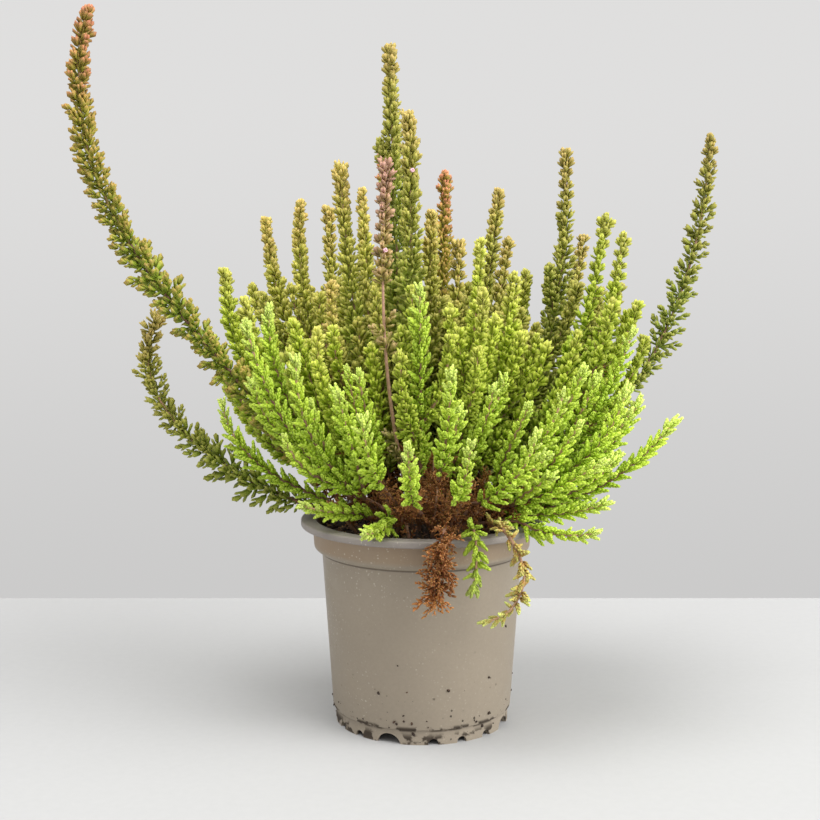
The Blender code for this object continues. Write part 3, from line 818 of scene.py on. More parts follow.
def pot_material(settings):
    """Moulded taupe plastic with a greyer lip, pale grit, a warm collar stain that is partly
    painted shade, and dark compost caught in the step and round the foot, which also paints
    the shade in the step and under the ledge above the foot."""
    finish = Finish("taupe_plastic")
    x, _, z = finish.add("ShaderNodeSeparateXYZ", {0: finish.place}).outputs
    flat = finish.vector("MULTIPLY", {0: finish.place, 1: (1.0, 1.0, 0.0)})[0]
    reach = finish.vector("LENGTH", {0: flat})["Value"]
    lip = finish.most(
        finish.ramp(reach, (COLLAR_RADIUS + 0.6) * MM, (COLLAR_RADIUS + 1.4) * MM),
        finish.ramp(z, (RIM_TOP - 0.5) * MM, (RIM_TOP - 0.1) * MM),
    )
    colour = finish.mix(lip, solid(settings.body_colour), solid(settings.lip_colour))
    grain = finish.mottled(finish.mottled(colour, 38.0, 0.1)["Colour"], 900.0, 0.08)
    # The warm stain on the upper collar is partly a real dirt film and partly painted shade under
    # the lip, with a painted warm reflection.
    collar_stain_and_shade = finish.times(
        finish.ramp(z, COLLAR_FOOT * MM, (COLLAR_FOOT + 2.0) * MM),
        finish.minus(1.0, lip),
        finish.ramp(finish.patches(22.0, 3.0), 0.3, 0.7, 0.4, 0.8),
    )
    grit = finish.times(
        finish.specks(900.0, 0.25, 0.6),
        finish.ramp(finish.patches(30.0), 0.4, 0.6),
        finish.ramp(x, 0.02, -0.03, 0.3, 1.0),
        0.55,
    )
    dirt = finish.times(
        finish.specks(480.0, 0.22, 0.22),
        finish.ramp(z, 0.03, 0.004, 0.12, 1.0),
        finish.ramp(finish.patches(75.0, 3.0), 0.46, 0.58),
    )
    smear = finish.patches(130.0, 6.0)
    # Each film darkens a band round the pot: real soil in patches, and painted shade in the
    # collar's step and under the ledge above the foot.
    films = []
    for height, spread_out, start, full, strength in DIRT_AND_SHADE_FILMS:
        off = finish.math("ABSOLUTE", finish.minus(z, height * MM))
        near = finish.ramp(off, spread_out * MM, 0.2 * spread_out * MM)
        films.append(finish.times(near, finish.ramp(smear, start, full, 0.0, strength)))
    film = finish.most(*films)
    colour = finish.mix(collar_stain_and_shade, grain["Colour"], solid(settings.collar_stain_and_shade_colour))
    colour = finish.mix(grit, colour, solid(settings.grit_colour))
    colour = finish.mix(dirt, colour, solid(settings.dirt_and_shade_colour))
    colour = finish.mix(film, colour, solid(settings.dirt_and_shade_colour))
    rough = finish.ramp(finish.patches(85.0, 4.0), 0.25, 0.75, 0.44, 0.6)
    rough = finish.plus(rough, finish.most(dirt, film), clamp=True)
    more = {"Specular IOR Level": 0.45, "Normal": finish.bump(grain["Height"], 0.12, 0.1)}
    return finish.done(colour, rough, more)


# Leaves and sprigs


class Shape(NamedTuple):
    """A small repeated form: points in millimetres, triangles, and for each point its place
    along the leaf, along the sprig, and the number of its leaf."""

    points: np.ndarray
    triangles: np.ndarray
    leaf_tip: np.ndarray
    sprig_tip: np.ndarray
    leaf: np.ndarray


class SprigForm(NamedTuple):
    """Sizes of a sprig: its length, pairs of leaves, rings in a leaf, leaf length, width and
    thickness, how far leaves lean out at its foot and tip in degrees, its twig and its unrest."""

    length: float
    pairs: int
    leaf_rings: int
    leaf_length: float
    leaf_width: float
    leaf_thickness: float
    foot_lean: float
    tip_lean: float
    twig_radius: float
    unruly: float


SPRIG_FORMS = {
    "lobe": SprigForm(4.4, 2, 2, 3.5, 1.6, 0.85, 22.0, 7.0, 0.3, 6.0),
    "fan": SprigForm(6.2, 3, 2, 3.7, 1.6, 0.85, 34.0, 11.0, 0.32, 8.0),
    "open": SprigForm(8.0, 4, 2, 3.6, 1.55, 0.85, 40.0, 16.0, 0.32, 9.0),
    "twiglet": SprigForm(6.0, 6, 1, 2.5, 1.05, 0.75, 21.0, 6.0, 0.28, 4.0),
    "feather": SprigForm(8.0, 8, 1, 2.5, 1.05, 0.75, 23.0, 7.0, 0.28, 4.0),
    "needled": SprigForm(7.5, 6, 1, 1.9, 0.6, 0.45, 52.0, 28.0, 0.26, 26.0),
}
FORM_VARIANTS = 3

# Forms of sprig by length, for plants with plump leaves and for those with fine ones
COARSE_FORMS = ((5.8, "lobe"), (7.8, "fan"), (99.0, "open"))
FINE_FORMS = ((7.2, "twiglet"), (99.0, "feather"))
FINE_FOLIAGE = ("lime", "ochre")

# How a leaf's rings of points are shaped, by their number: height, scale and shift of each
LEAF_POINT = (1.0, None, (0, -0.12, 0))
LEAF_SHAPING = {
    1: ((0.5, None, (0, 0, 0.18)), LEAF_POINT),
    2: ((0.25, (0.72, 0.8, 1), None), (0.75, (1.05, 0.95, 1), (0, -0.05, 0.04)), LEAF_POINT),
}
LEAF_SIDES = 3
TWIG_SIDES = 3
RING_EDGE = 0.05
TWIG_INSIDE = 0.7
LAST_SHRINK = 0.2
LEAF_SIZES = (0.9, 1.1)
FOOT_TINT = 0.25


@lru_cache(maxsize=None)
def leaf_blank(rings):
    """A blunt scale leaf of unit size, modelled from a small sphere. It grows from the origin
    along +Z, its flat side faces -Y and its keeled back faces +Y. One ring of points makes the
    plain leaf of a long sprig, and two rings the plump leaf of a tip."""
    leaf = new_primitive(
        bpy.ops.mesh.primitive_uv_sphere_add, segments=LEAF_SIDES, ring_count=1 + rings,
        radius=0.5 * MM, location=(0, 0, 0.5 * MM), rotation=(0, 0, math.pi / 2),
    )
    bpy.ops.object.mode_set(mode="EDIT")
    for height, scale, shift in LEAF_SHAPING[rings]:
        pick_verts(leaf, lambda place: abs(place.z - height) < RING_EDGE)
        if scale:
            bpy.ops.transform.resize(value=scale, center_override=(0, 0, height * MM))
        if shift:
            bpy.ops.transform.translate(value=[step * MM for step in shift])
    bpy.ops.mesh.select_all(action="SELECT")
    bpy.ops.mesh.quads_convert_to_tris()
    bpy.ops.mesh.normals_make_consistent(inside=False)
    bpy.ops.object.mode_set(mode="OBJECT")
    points, triangles = taken_apart(leaf)
    return points / [np.ptp(points[:, 0]), np.ptp(points[:, 1]), 1.0], triangles


def leaf_frame(tilt, away, up):
    """Directions of a leaf that leans out from upright: across it, off its back, along it."""
    back, axis = turned(-tilt, away, up), turned(tilt, up, away)
    return np.cross(back, axis), back, axis


def twig_shape(length, radius, rings=2):
    """A slim closed twig along +Z, as points and triangles."""
    angles = FULL_TURN * np.arange(TWIG_SIDES) / TWIG_SIDES
    ring = np.stack([np.cos(angles), np.sin(angles)], axis=1)
    rows = zip(np.linspace(0.0, length, rings), np.linspace(radius, 0.5 * radius, rings))
    points = [np.column_stack([ring * girth, np.full(TWIG_SIDES, z)]) for z, girth in rows]
    points += [[[0.0, 0.0, -radius]], [[0.0, 0.0, length + radius]]]
    return np.vstack(points), tube_faces(rings, TWIG_SIDES)


def tube_faces(rings, sides):
    """Triangles of a closed tube whose rings come first, then its foot point and its tip point."""
    faces = []
    foot, tip = rings * sides, rings * sides + 1
    for side in range(sides):
        after = (side + 1) % sides
        for low in range(0, foot - sides, sides):
            high = low + sides
            faces.append((low + side, low + after, high + after))
            faces.append((low + side, high + after, high + side))
        faces.append((foot, after, side))
        faces.append((tip, foot - sides + side, foot - sides + after))
    return np.array(faces)


def sprig_shape(form, draw):
    """A sprig along +Z: pairs of leaves on a twig, each pair a quarter turn from the last."""
    leaf_points, leaf_faces = leaf_blank(form.leaf_rings)
    twig_length = form.length - TWIG_INSIDE * form.leaf_length
    points, faces = twig_shape(twig_length, form.twig_radius, 1)
    offset, leaf_size = len(points), len(leaf_points)
    rows = [(points, faces, np.zeros(offset), np.zeros(offset), np.zeros(offset, int))]
    size = np.array([form.leaf_width, form.leaf_thickness, form.leaf_length])
    last = form.length - form.leaf_length * math.cos(math.radians(form.tip_lean))
    for number in range(2 * form.pairs):
        pair, side = divmod(number, 2)
        share = pair / (form.pairs - 1)
        lean = form.foot_lean + (form.tip_lean - form.foot_lean) * share
        turn = math.radians(90.0 * pair + 180.0 * side + draw.normal(0, form.unruly))
        tilt = math.radians(lean + draw.normal(0, form.unruly * 0.6))
        away = outward(turn)
        base = away * form.twig_radius * 0.5 + UP * last * share
        grown = leaf_points * size * (1.0 - LAST_SHRINK * share**3) * draw.uniform(*LEAF_SIZES)
        rows.append((
            set_in(grown, base, *leaf_frame(tilt, away, UP)),
            leaf_faces + offset,
            np.clip(leaf_points[:, 2], 0, 1),
            np.full(leaf_size, FOOT_TINT + (1 - FOOT_TINT) * share),
            np.full(leaf_size, number + 1),
        ))
        offset += leaf_size
    return Shape(*map(np.concatenate, zip(*rows)))


@lru_cache(maxsize=1)
def sprig_library():
    """A few variants of every sprig form."""
    draw = np.random.default_rng(SPRIG_SEED)
    return {
        name: [sprig_shape(form, draw) for _ in range(FORM_VARIANTS)]
        for name, form in SPRIG_FORMS.items()
    }


# Shoots


class Growth(NamedTuple):
    """How sprigs grow on a shoot: pitch of their rings near the tip and low down, how far they
    lean off the stem there in degrees, sprigs in a ring, and how unruly they are."""

    tip_pitch: float
    low_pitch: float
    tip_lean: float
    low_lean: float
    ring: int
    unruly: float


LIVE_GROWTH = Growth(1.9, 2.9, 29.0, 42.0, 2, 9.0)
LONE_GROWTH = Growth(2.1, 2.8, 42.0, 54.0, 2, 12.0)
FINE_GROWTH = Growth(2.2, 2.45, 34.0, 43.0, 2, 7.0)
SIDE_GROWTH = Growth(2.5, 2.9, 29.0, 42.0, 2, 9.0)
SPRIG_GROWTH = Growth(1.9, 2.1, 40.0, 50.0, 2, 16.0)
TUFT_GROWTH = Growth(1.2, 1.2, 60.0, 85.0, 5, 40.0)
CURL_GROWTH = Growth(2.1, 2.3, 52.0, 66.0, 2, 24.0)
DEAD_GROWTH = Growth(2.0, 2.2, 35.0, 50.0, 3, 20.0)
THATCH_GROWTH = Growth(2.8, 2.8, 30.0, 55.0, 2, 20.0)

# Sprigs on a shoot
CLUSTER_BELOW = (2.0, 3.1)
CLUSTER_LEANS = (20.0, 34.0)
UNEVEN_SHARE = 0.014
LONGEST_SHARE = 1.12
WAVE_SHARE = 0.12
WAVE_LENGTH = 9.0
TIP_SHARE = 0.85
MOST_BEND = 0.18
OFF_STEM = 0.25
SPARSE_CHANCE = 0.3
WITHERED_SPREAD = 3.5
WITHERED_SIZES = (0.65, 1.0)
SIZE_CUTS = (1.0, 0.85, 0.7, 0.55, 0.42, 0.3)
PROBE_STEPS = np.linspace(0.2, 1.0, 5)[:, None]
POT_MARGIN = 0.8
SHARED_ROOM = 4.5
LEAST_SPRIG = 1.4
STEM_SIDES = 5
STEM_STEP = 3.2

# Short spurs on the stems
SPUR_EVERY = 42.0
SPUR_LENGTHS = (10.0, 18.0)
SPUR_CLEAR_OF_TIP = 46.0
SPUR_TURN = 0.8
SPUR_MARGIN = 3.0
SPUR_AGE_SHARE = 0.8

# Side shoots that fill the bush
SIDE_SHARES = (0.2, 0.32, 0.44, 0.56)
SIDE_LENGTHS = (58.0, 46.0, 34.0, 24.0)
SIDE_OPEN = 34.0
SIDE_CLOSING = 1.3
SIDE_END = 5.0
SIDE_POINTS = 14
SIDE_TURNS = 12
SIDE_ROOM = 3.1
BACK_ROOM = 5.4
SIDE_FREE_POINTS = 4
SIDE_BELOW_TIP = 14.0
SIDE_MARGIN = 2.5
BOX_MARGIN = 4.0
SIDE_TOP = 162.0
FRONT_LIME_TOP = 135.0
BACK_GREEN_TOP = 145.0
PARTING = 0.1

# Age of the tips of side shoots, by foliage
SIDE_AGES = {"lime": 0.1, "green": 0.2, "olive": 0.4}


class Shoot(NamedTuple):
    """What one shoot grows from: its line, foliage and way of growing, its seed, the radii of
    its stem at tip, middle and foot, how much longer than usual its sprigs are, the painted
    light and shade that make its leaves lighter or darker, the age of its tip, the lengths
    from its foot on which leaves are withered and on which they are sparse, whether all of it
    is dry, and whether it bears spurs."""

    line: np.ndarray
    foliage: str
    growth: Growth
    seed: int
    girths: tuple
    stout: float
    lift: float = 0.0
    age: float = 0.0
    withered: float = 0.0
    sparse: float = 0.0
    dry: bool = False
    spurs: bool = False


def new_shoot(settings, line, foliage, growth, seed, stout=1.0, **more):
    """A shoot whose stem and sprigs have the sizes that the settings give."""
    girths = (settings.stem_tip / MM, settings.stem_middle / MM, settings.stem_foot / MM)
    return Shoot(line, foliage, growth, seed, girths, stout * settings.sprig_scale, **more)


def is_clear(points, margin):
    """Whether each point keeps that far off the pot and the compost."""
    x, y, z = points[..., 0], points[..., 1], points[..., 2]
    reach = np.hypot(x, y)
    over_soil = z > soil_height(x, y) + LUMP_HEIGHT + margin
    beside_lip = reach > RIM_RADIUS + margin
    beside_collar = reach > COLLAR_RADIUS + margin
    over_rim = z > RIM_TOP + margin
    by_wall = np.where(z > RIM_TOP - LIP_HEIGHT - margin, beside_lip, beside_collar)
    return np.where(reach < COLLAR_RADIUS - WALL - margin, over_soil, over_rim | by_wall)


def stem_frames(line):
    """Along a line: its direction and one sideways direction that turns as little as it can."""
    ways = unit(np.gradient(line, axis=0))
    side = np.cross(ways[0], [0.0, 1.0, 0.0])
    sides = []
    for way in ways:
        side = side - way * np.dot(side, way)
        side /= np.linalg.norm(side)
        sides.append(side)
    return ways, np.array(sides)


def walked(line):
    """A line's length, its points a small step apart, and their directions and sides."""
    length = line_length(line)
    fine = arc_resample(line, int(length / FINE_STEP))
    return length, fine, *stem_frames(fine)


def below_tip(fine, length, below):
    """The number of the point that lies that far below the tip."""
    return int((1 - below / length) * (len(fine) - 1))


def side_line(stem, index, turn, reach):
    """A line that leaves its parent stem, opens out, and comes round to run beside it."""
    _, fine, ways, sides = stem
    away = turned(turn, sides[index], np.cross(ways[index], sides[index]))
    share = np.linspace(0.0, 1.0, SIDE_POINTS)[:, None]
    angle = np.radians(SIDE_OPEN * (1 - share) ** SIDE_CLOSING + SIDE_END)
    along = (share[:, 0] * reach / FINE_STEP).astype(int)
    later = np.minimum(index + along, len(fine) - 1)
    steps = (np.cos(angle) * ways[later] + np.sin(angle) * away) * reach / (SIDE_POINTS - 1)
    return fine[index] + np.cumsum(steps, axis=0) - steps[0]


def parting(line):
    """Where a side line starts, just inside its parent stem."""
    return line[0] - PARTING * (line[1] - line[0])


def add_stem(bits, line, span, shoot):
    """A tapered woody stem along the line, with a point at its foot and its tip."""
    length = line_length(line)
    centres = arc_resample(line, max(4, int(length / STEM_STEP)))
    ways, sides = stem_frames(centres)
    others = np.cross(ways, sides)
    count = len(centres)
    below = length * (1 - np.arange(count) / (count - 1))
    radii = np.interp(np.clip(below / length, 0, 1), [0, 0.5, 1], shoot.girths)
    angles = (FULL_TURN * np.arange(STEM_SIDES) / STEM_SIDES)[:, None]
    around = np.cos(angles) * sides[:, None] + np.sin(angles) * others[:, None]
    rings = (centres[:, None] + radii[:, None, None] * around).reshape(-1, 3)
    ends = np.vstack([centres[0] - ways[0] * radii[0], centres[-1] + ways[-1] * radii[-1]])
    age = shoot.age + np.concatenate([np.repeat(below / span, STEM_SIDES), [below[0] / span, 0.0]])
    bits.add(np.vstack([rings, ends]), tube_faces(count, STEM_SIDES), age=age)


def sprig_reach(foliage, below):
    short, long, span = SPRIG_REACH[foliage]
    share = np.clip(below / span, 0.0, 1.0)
    return short + (long - short) * share * share * (3 - 2 * share)


def sprig_form(size, foliage, dry):
    if dry:
        return "needled"
    forms = FINE_FORMS if foliage in FINE_FOLIAGE else COARSE_FORMS
    return next(form for longest, form in forms if size < longest)


def add_sprig(bits, form, place, axis, upward, length, draw, **looks):
    """Stamps one sprig at its place, along its axis, bent a little towards the shoot's tip."""
    shape = sprig_library()[form][draw.integers(FORM_VARIANTS)]
    front = unit(upward - axis * np.dot(upward, axis))
    points = shape.points * length / SPRIG_FORMS[form].length
    points[:, 0] += draw.uniform(0.0, MOST_BEND) * points[:, 2] ** 2 / length
    placed = set_in(points, place, front, np.cross(axis, front), axis)
    leaf_chance = draw.random(shape.leaf.max() + 1)
    chance = 0.5 * draw.random() + 0.5 * leaf_chance[shape.leaf]
    tips = {"leaf_tip": shape.leaf_tip, "sprig_tip": shape.sprig_tip}
    bits.add(placed, shape.triangles, 1, chance=chance, **tips, **looks)


def sized_to_fit(place, axis, reach, own, others):
    """The sprig's length after it is cut back from the pot, the compost and other stems."""
    for cut in SIZE_CUTS:
        probe = place + axis * reach * cut * PROBE_STEPS
        if not is_clear(probe, POT_MARGIN).all():
            continue
        near_own = np.linalg.norm(own - probe[-1], axis=1).min()
        near_other = np.linalg.norm(others - probe[-1], axis=1).min()
        if near_other - near_own > -SHARED_ROOM:
            return reach * cut
    return 0.0


def node_places(growth, span, length):
    """Distances below the tip at which rings of sprigs stand, with the lean of each."""
    places = list(zip(CLUSTER_BELOW, CLUSTER_LEANS))
    below = CLUSTER_BELOW[-1]
    while below < length - LEAST_SPRIG:
        share = min(1.0, below / span)
        below += growth.tip_pitch + (growth.low_pitch - growth.tip_pitch) * share
        places.append((below, growth.tip_lean + (growth.low_lean - growth.tip_lean) * share))
    return places[:-1]


def add_shoot(bits, shoot, others, root):
    """Adds one stem and all its sprigs. The stem starts at the root and follows the line."""
    foliage, growth = shoot.foliage, shoot.growth
    draw = np.random.default_rng(shoot.seed)
    short, _, span = SPRIG_REACH[foliage]
    add_stem(bits, np.vstack([root, shoot.line]), span, shoot)
    stem = length, fine, ways, sides = walked(shoot.line)
    turn = draw.uniform(0, FULL_TURN)
    phase = draw.uniform(0, FULL_TURN)
    for below, ring_lean in node_places(growth, span, length):
        index = below_tip(fine, length, below)
        way, side = ways[index], sides[index]
        other = np.cross(way, side)
        age = shoot.age + below / span
        above_foot = length - below
        turn += math.pi / growth.ring
        swell = 1.0 + WAVE_SHARE * math.sin(below / WAVE_LENGTH + phase)
        for number in range(growth.ring):
            dead = above_foot < shoot.withered + draw.normal(0, WITHERED_SPREAD)
            if above_foot < shoot.sparse and draw.random() > SPARSE_CHANCE:
                continue
            angle = turn + FULL_TURN * number / growth.ring
            angle += math.radians(draw.normal(0, growth.unruly))
            away = turned(angle, side, other)
            axis = turned(math.radians(ring_lean + draw.normal(0, growth.unruly)), way, away)
            place = fine[index] + OFF_STEM * away
            reach = sprig_reach(foliage, below) * shoot.stout * swell
            reach *= draw.uniform(1.0 - UNEVEN_SHARE * growth.unruly, LONGEST_SHARE)
            if dead:
                reach *= draw.uniform(*WITHERED_SIZES)
            reach = sized_to_fit(place, axis, reach, fine, others)
            if reach < LEAST_SPRIG:
                continue
            form = sprig_form(reach, foliage, shoot.dry or dead)
            looks = {"age": age, "withered": float(dead), "lift": shoot.lift}
            add_sprig(bits, form, place, axis, way, reach, draw, **looks)
        bears = shoot.spurs and below > SPUR_CLEAR_OF_TIP and not dead
        if bears and draw.random() < growth.low_pitch / SPUR_EVERY:
            spur = side_line(stem, index, turn + SPUR_TURN, draw.uniform(*SPUR_LENGTHS))
            if is_clear(spur, SPUR_MARGIN).all():
                small = shoot._replace(
                    line=arc_resample(spur, CURVE_POINTS), seed=int(draw.integers(SEED_RANGE)),
                    age=shoot.age + SPUR_AGE_SHARE * below / span, withered=0.0, sparse=0.0,
                    spurs=False,
                )
                add_shoot(bits, small, others, parting(spur))
    tip = fine[below_tip(fine, length, CLUSTER_BELOW[0])]
    reach = TIP_SHARE * short * shoot.stout
    form = sprig_form(short, foliage, shoot.dry)
    looks = {"age": shoot.age, "lift": shoot.lift}
    add_sprig(bits, form, tip, ways[-1], sides[-1], reach, draw, **looks)


def side_foliage(tip):
    """Side shoots are freshest low at the front, and dullest high at the back."""
    if tip[1] < 0:
        return "lime" if tip[2] < FRONT_LIME_TOP else "green"
    return "green" if tip[2] < BACK_GREEN_TOP else "olive"


def roomiest(stem, share, around):
    """The longest side line that has room at that share of the stem, turned to where it has the
    most, or None."""
    low, high = (np.array(corner) / MM for corner in CAD_BOX)
    for reach in SIDE_LENGTHS:
        if reach > (1 - share) * stem[0] - SIDE_BELOW_TIP:
            continue
        found = []
        for step in range(SIDE_TURNS):
            line = side_line(stem, int(share * len(stem[1])), FULL_TURN * step / SIDE_TURNS, reach)
            free = line[SIDE_FREE_POINTS:]
            outside = (free < low + BOX_MARGIN).any() or (free > high - BOX_MARGIN).any()
            if outside or free[-1, 2] > SIDE_TOP or not is_clear(free, SIDE_MARGIN).all():
                continue
            gap = np.linalg.norm(free[:, None] - around[None], axis=2).min()
            if gap > (SIDE_ROOM if free[-1, 1] < 0 else BACK_ROOM):
                found.append((gap, line))
        if found:
            return max(found, key=lambda row: row[0])[1]
    return None


@lru_cache(maxsize=1)
def side_shoot_lines():
    """Side shoots, each turned to where it has the most room. Gives line, foliage and parent."""
    found = []
    for name in STEMS:
        if name in LONE_STEMS:
            continue
        stem = walked(stem_lines()[name])
        for share in SIDE_SHARES:
            if share * stem[0] < LONG_WITHERED.get(name, WITHERED_REACH):
                continue
            around = np.vstack([other_lines(name), *(line for line, _, _ in found)])
            line = roomiest(stem, share, around)
            if line is not None:
                found.append((arc_resample(line, CURVE_POINTS), side_foliage(line[-1]), name))
    return found


# Dead thatch, at the front and at the back of the middle: radii, and headings in degrees
THATCH_RADII = (5.0, 33.0)
THATCH_FRONT_SHARE = 0.6
THATCH_FRONT = (-155, -25)
THATCH_BACK = (45, 150)
THATCH_SWING = 0.6
THATCH_LEANS = (10, 50)
THATCH_LENGTHS = (11.0, 25.0)
THATCH_ROOT = 1.0
THATCH_CURVE = 3.0
ALONE = 50.0


def on_soil(radius, angle):
    """The place on the lumpy compost at that radius and angle."""
    x, y = radius * math.cos(angle), radius * math.sin(angle)
    return np.array([x, y, soil_height(x, y) + lump(x, y)])


def thatch_line(draw):
    """A short dead spray that rises from the compost and leans outwards."""
    radius = draw.uniform(*THATCH_RADII)
    in_front = draw.random() < THATCH_FRONT_SHARE
    heading = math.radians(draw.uniform(*(THATCH_FRONT if in_front else THATCH_BACK)))
    foot = on_soil(radius, heading) - UP * THATCH_ROOT
    heading += draw.normal(0, THATCH_SWING)
    way = turned(math.radians(draw.uniform(*THATCH_LEANS)), UP, outward(heading))
    length = draw.uniform(*THATCH_LENGTHS)
    share = np.linspace(0, 1, CURVE_POINTS)[:, None]
    return foot + way * length * share + [0, 0, THATCH_CURVE] * share**2


# Loose matter on the compost and on the pot


# Share of the largest size that the smallest bit of each kind has
LEAST_CRUMB = 0.25
LEAST_LEAF = 0.42
LEAST_FIBRE = 0.38
LEAST_FLECK = 0.15

SOIL_REACH = 38.0
CRUMB_ROUGHNESS = 0.14
CRUMB_SIZES = (1.0, 0.85, 0.7)
CRUMB_STAND = 0.1
LITTER_SHAPE = (0.4, 0.28, 1.0)
LITTER_STAND = 0.5
LITTER_STEEPEST = 40.0
FIBRE_RADII = (0.12, 0.3)
FIBRE_BEND = 0.1
FIBRE_SPOTS = (0.9, 0.9, 1.0)
FIBRE_STAND = 0.8
FIBRE_STEEPEST = 12.0

# Flecks on the pot: the share that lies on the wall above the foot, and their heights
WALL_FLECKS = 0.6
LOWEST_WALL_FLECK = FOOT_LINE + 0.3
HIGHEST_FLECK = STEP_HEIGHT - 2
LOWEST_FLECK = 0.8
FLECK_RISE = 5.0
FLECK_FLATTENING = 0.4
FLECK_STAND = 0.12


@lru_cache(maxsize=1)
def crumb_blanks():
    """Crumbs of unit size: small faceted balls pushed out of round."""
    blanks = []
    for variant in range(FORM_VARIANTS):
        add = bpy.ops.mesh.primitive_ico_sphere_add
        crumb = new_primitive(add, subdivisions=1, radius=0.5 * MM)
        bpy.ops.object.mode_set(mode="EDIT")
        bpy.ops.mesh.select_all(action="SELECT")
        bpy.ops.transform.vertex_random(
            offset=CRUMB_ROUGHNESS * MM, uniform=0.8, normal=0.0, seed=variant
        )
        bpy.ops.transform.resize(value=CRUMB_SIZES, center_override=(0, 0, 0))
        bpy.ops.object.mode_set(mode="OBJECT")
        blanks.append(taken_apart(crumb))
    return blanks


def drawn_crumb(draw, largest, least, power):
    """One of the crumbs at a random size: its points, its triangles and that size."""
    points, triangles = crumb_blanks()[draw.integers(FORM_VARIANTS)]
    size = largest / MM * (least + (1 - least) * draw.random() ** power)
    return points * size, triangles, size


def random_turn(draw):
    """A random rotation, as a 3 by 3 array."""
    w, x, y, z = unit(draw.normal(size=4))
    return np.array(
        [
            [1 - 2 * (y * y + z * z), 2 * (x * y - z * w), 2 * (x * z + y * w)],
            [2 * (x * y + z * w), 1 - 2 * (x * x + z * z), 2 * (y * z - x * w)],
            [2 * (x * z - y * w), 2 * (y * z + x * w), 1 - 2 * (x * x + y * y)],
        ]
    )


def soil_spot(draw):
    """A random place on the compost."""
    radius = SOIL_REACH * math.sqrt(draw.random())
    return on_soil(radius, draw.uniform(0, FULL_TURN))


def lying_frame(draw, steepest):
    """A frame whose Z lies nearly level, for a bit that has fallen on the compost."""
    heading = draw.uniform(0, FULL_TURN)
    pitch = math.radians(draw.uniform(-steepest, steepest))
    axis = turned(pitch, outward(heading), UP)
    across = unit(np.cross(axis, UP))
    return np.stack([across, np.cross(axis, across), axis], axis=1)


def pot_wall_spot(draw):
    """A random place on the outside of the pot, most of them low down, with its normal and its
    angle about +Z."""
    angle = draw.uniform(0, FULL_TURN)
    if draw.random() < WALL_FLECKS:
        height = min(LOWEST_WALL_FLECK + draw.exponential(FLECK_RISE), HIGHEST_FLECK)
        rise = (height - FOOT_LINE) / (STEP_HEIGHT - FOOT_LINE)
        radius = BODY_FOOT_RADIUS + (STEP_RADIUS - BODY_FOOT_RADIUS) * rise
    else:
        height, radius = draw.uniform(LOWEST_FLECK, FOOT_LINE), FOOT_RADIUS
    return outward(angle) * radius + [0, 0, height], outward(angle), angle


# Pot and compost


# Openings of the foot ring in each quarter: degrees round from its arch, width and height
FOOT_OPENINGS = (
    (0.0, ARCH_WIDTH, ARCH_HEIGHT),
    *((offset, NOTCH_WIDTH, NOTCH_HEIGHT) for offset in NOTCH_OFFSETS),
)
ROD_SIDES = 40
DRAIN_SIDES = 24
LEVEL = 0.9
SMOOTH_BELOW = 32

# Displacement of the compost: size of the clouds, and their strength
SOIL_CLOUDS = ((3.2, 1.5), (1.1, 0.9))
SOIL_MIDDLE = 0.55


def over_opening(angle, height):
    """Whether a place on the foot ring falls in an arch or a notch."""
    degrees = (math.degrees(angle) + 90.0 - ARCH_ANGLE) % QUARTER
    for offset, width, _ in FOOT_OPENINGS:
        off = abs(degrees - offset)
        if min(off, QUARTER - off) < math.degrees(width / 2 / FOOT_RADIUS) + 1.0:
            return height <= ARCH_HEIGHT + 0.6
    return False


def extrude_to(now, radius, height):
    """Draws the selected cap out to a new radius and height."""
    old_radius, old_height = now
    rise = {"value": (0, 0, (height - old_height) * MM)}
    bpy.ops.mesh.extrude_region_move(TRANSFORM_OT_translate=rise)
    scale = radius / old_radius
    bpy.ops.transform.resize(value=(scale, scale, 1), center_override=(0, 0, height * MM))
    return radius, height


def bevel_ring(pot, radius, height, width, segments):
    """Rounds the edge ring that lies at this radius and height."""

    def on_ring(place):
        off = abs(math.hypot(place.x, place.y) - radius)
        return off < RING_EDGE and abs(place.z - height) < RING_EDGE

    pick_edges(pot, on_ring)
    bpy.ops.mesh.bevel(offset=width * MM, segments=segments, affect="EDGES")


def notch_rod(degrees, width, height):
    """A rod on its side through the foot ring, that many degrees round from the front towards
    +X, so that it leaves a rounded arch of that height."""
    radius = (width * width / 4 + height * height) / (2 * height)
    angle = math.radians(degrees - 90.0)
    place = outward(angle) * FOOT_RADIUS + UP * (height - radius)
    return new_cylinder(ROD_SIDES, radius, 4 * FOOT_RING_WIDTH, place, (0, math.pi / 2, angle))


def cut_away(obj, cutters):
    """Cuts all the cutters from the object at once, and removes them."""
    clear_selection()
    for cutter in cutters:
        cutter.select_set(True)
    bpy.context.view_layer.objects.active = cutters[0]
    bpy.ops.object.join()
    tool = bpy.context.object
    cut = {"operation": "DIFFERENCE", "object": tool, "solver": "EXACT", "use_self": True}
    apply_modifier(obj, "BOOLEAN", **cut)
    bpy.data.objects.remove(tool)


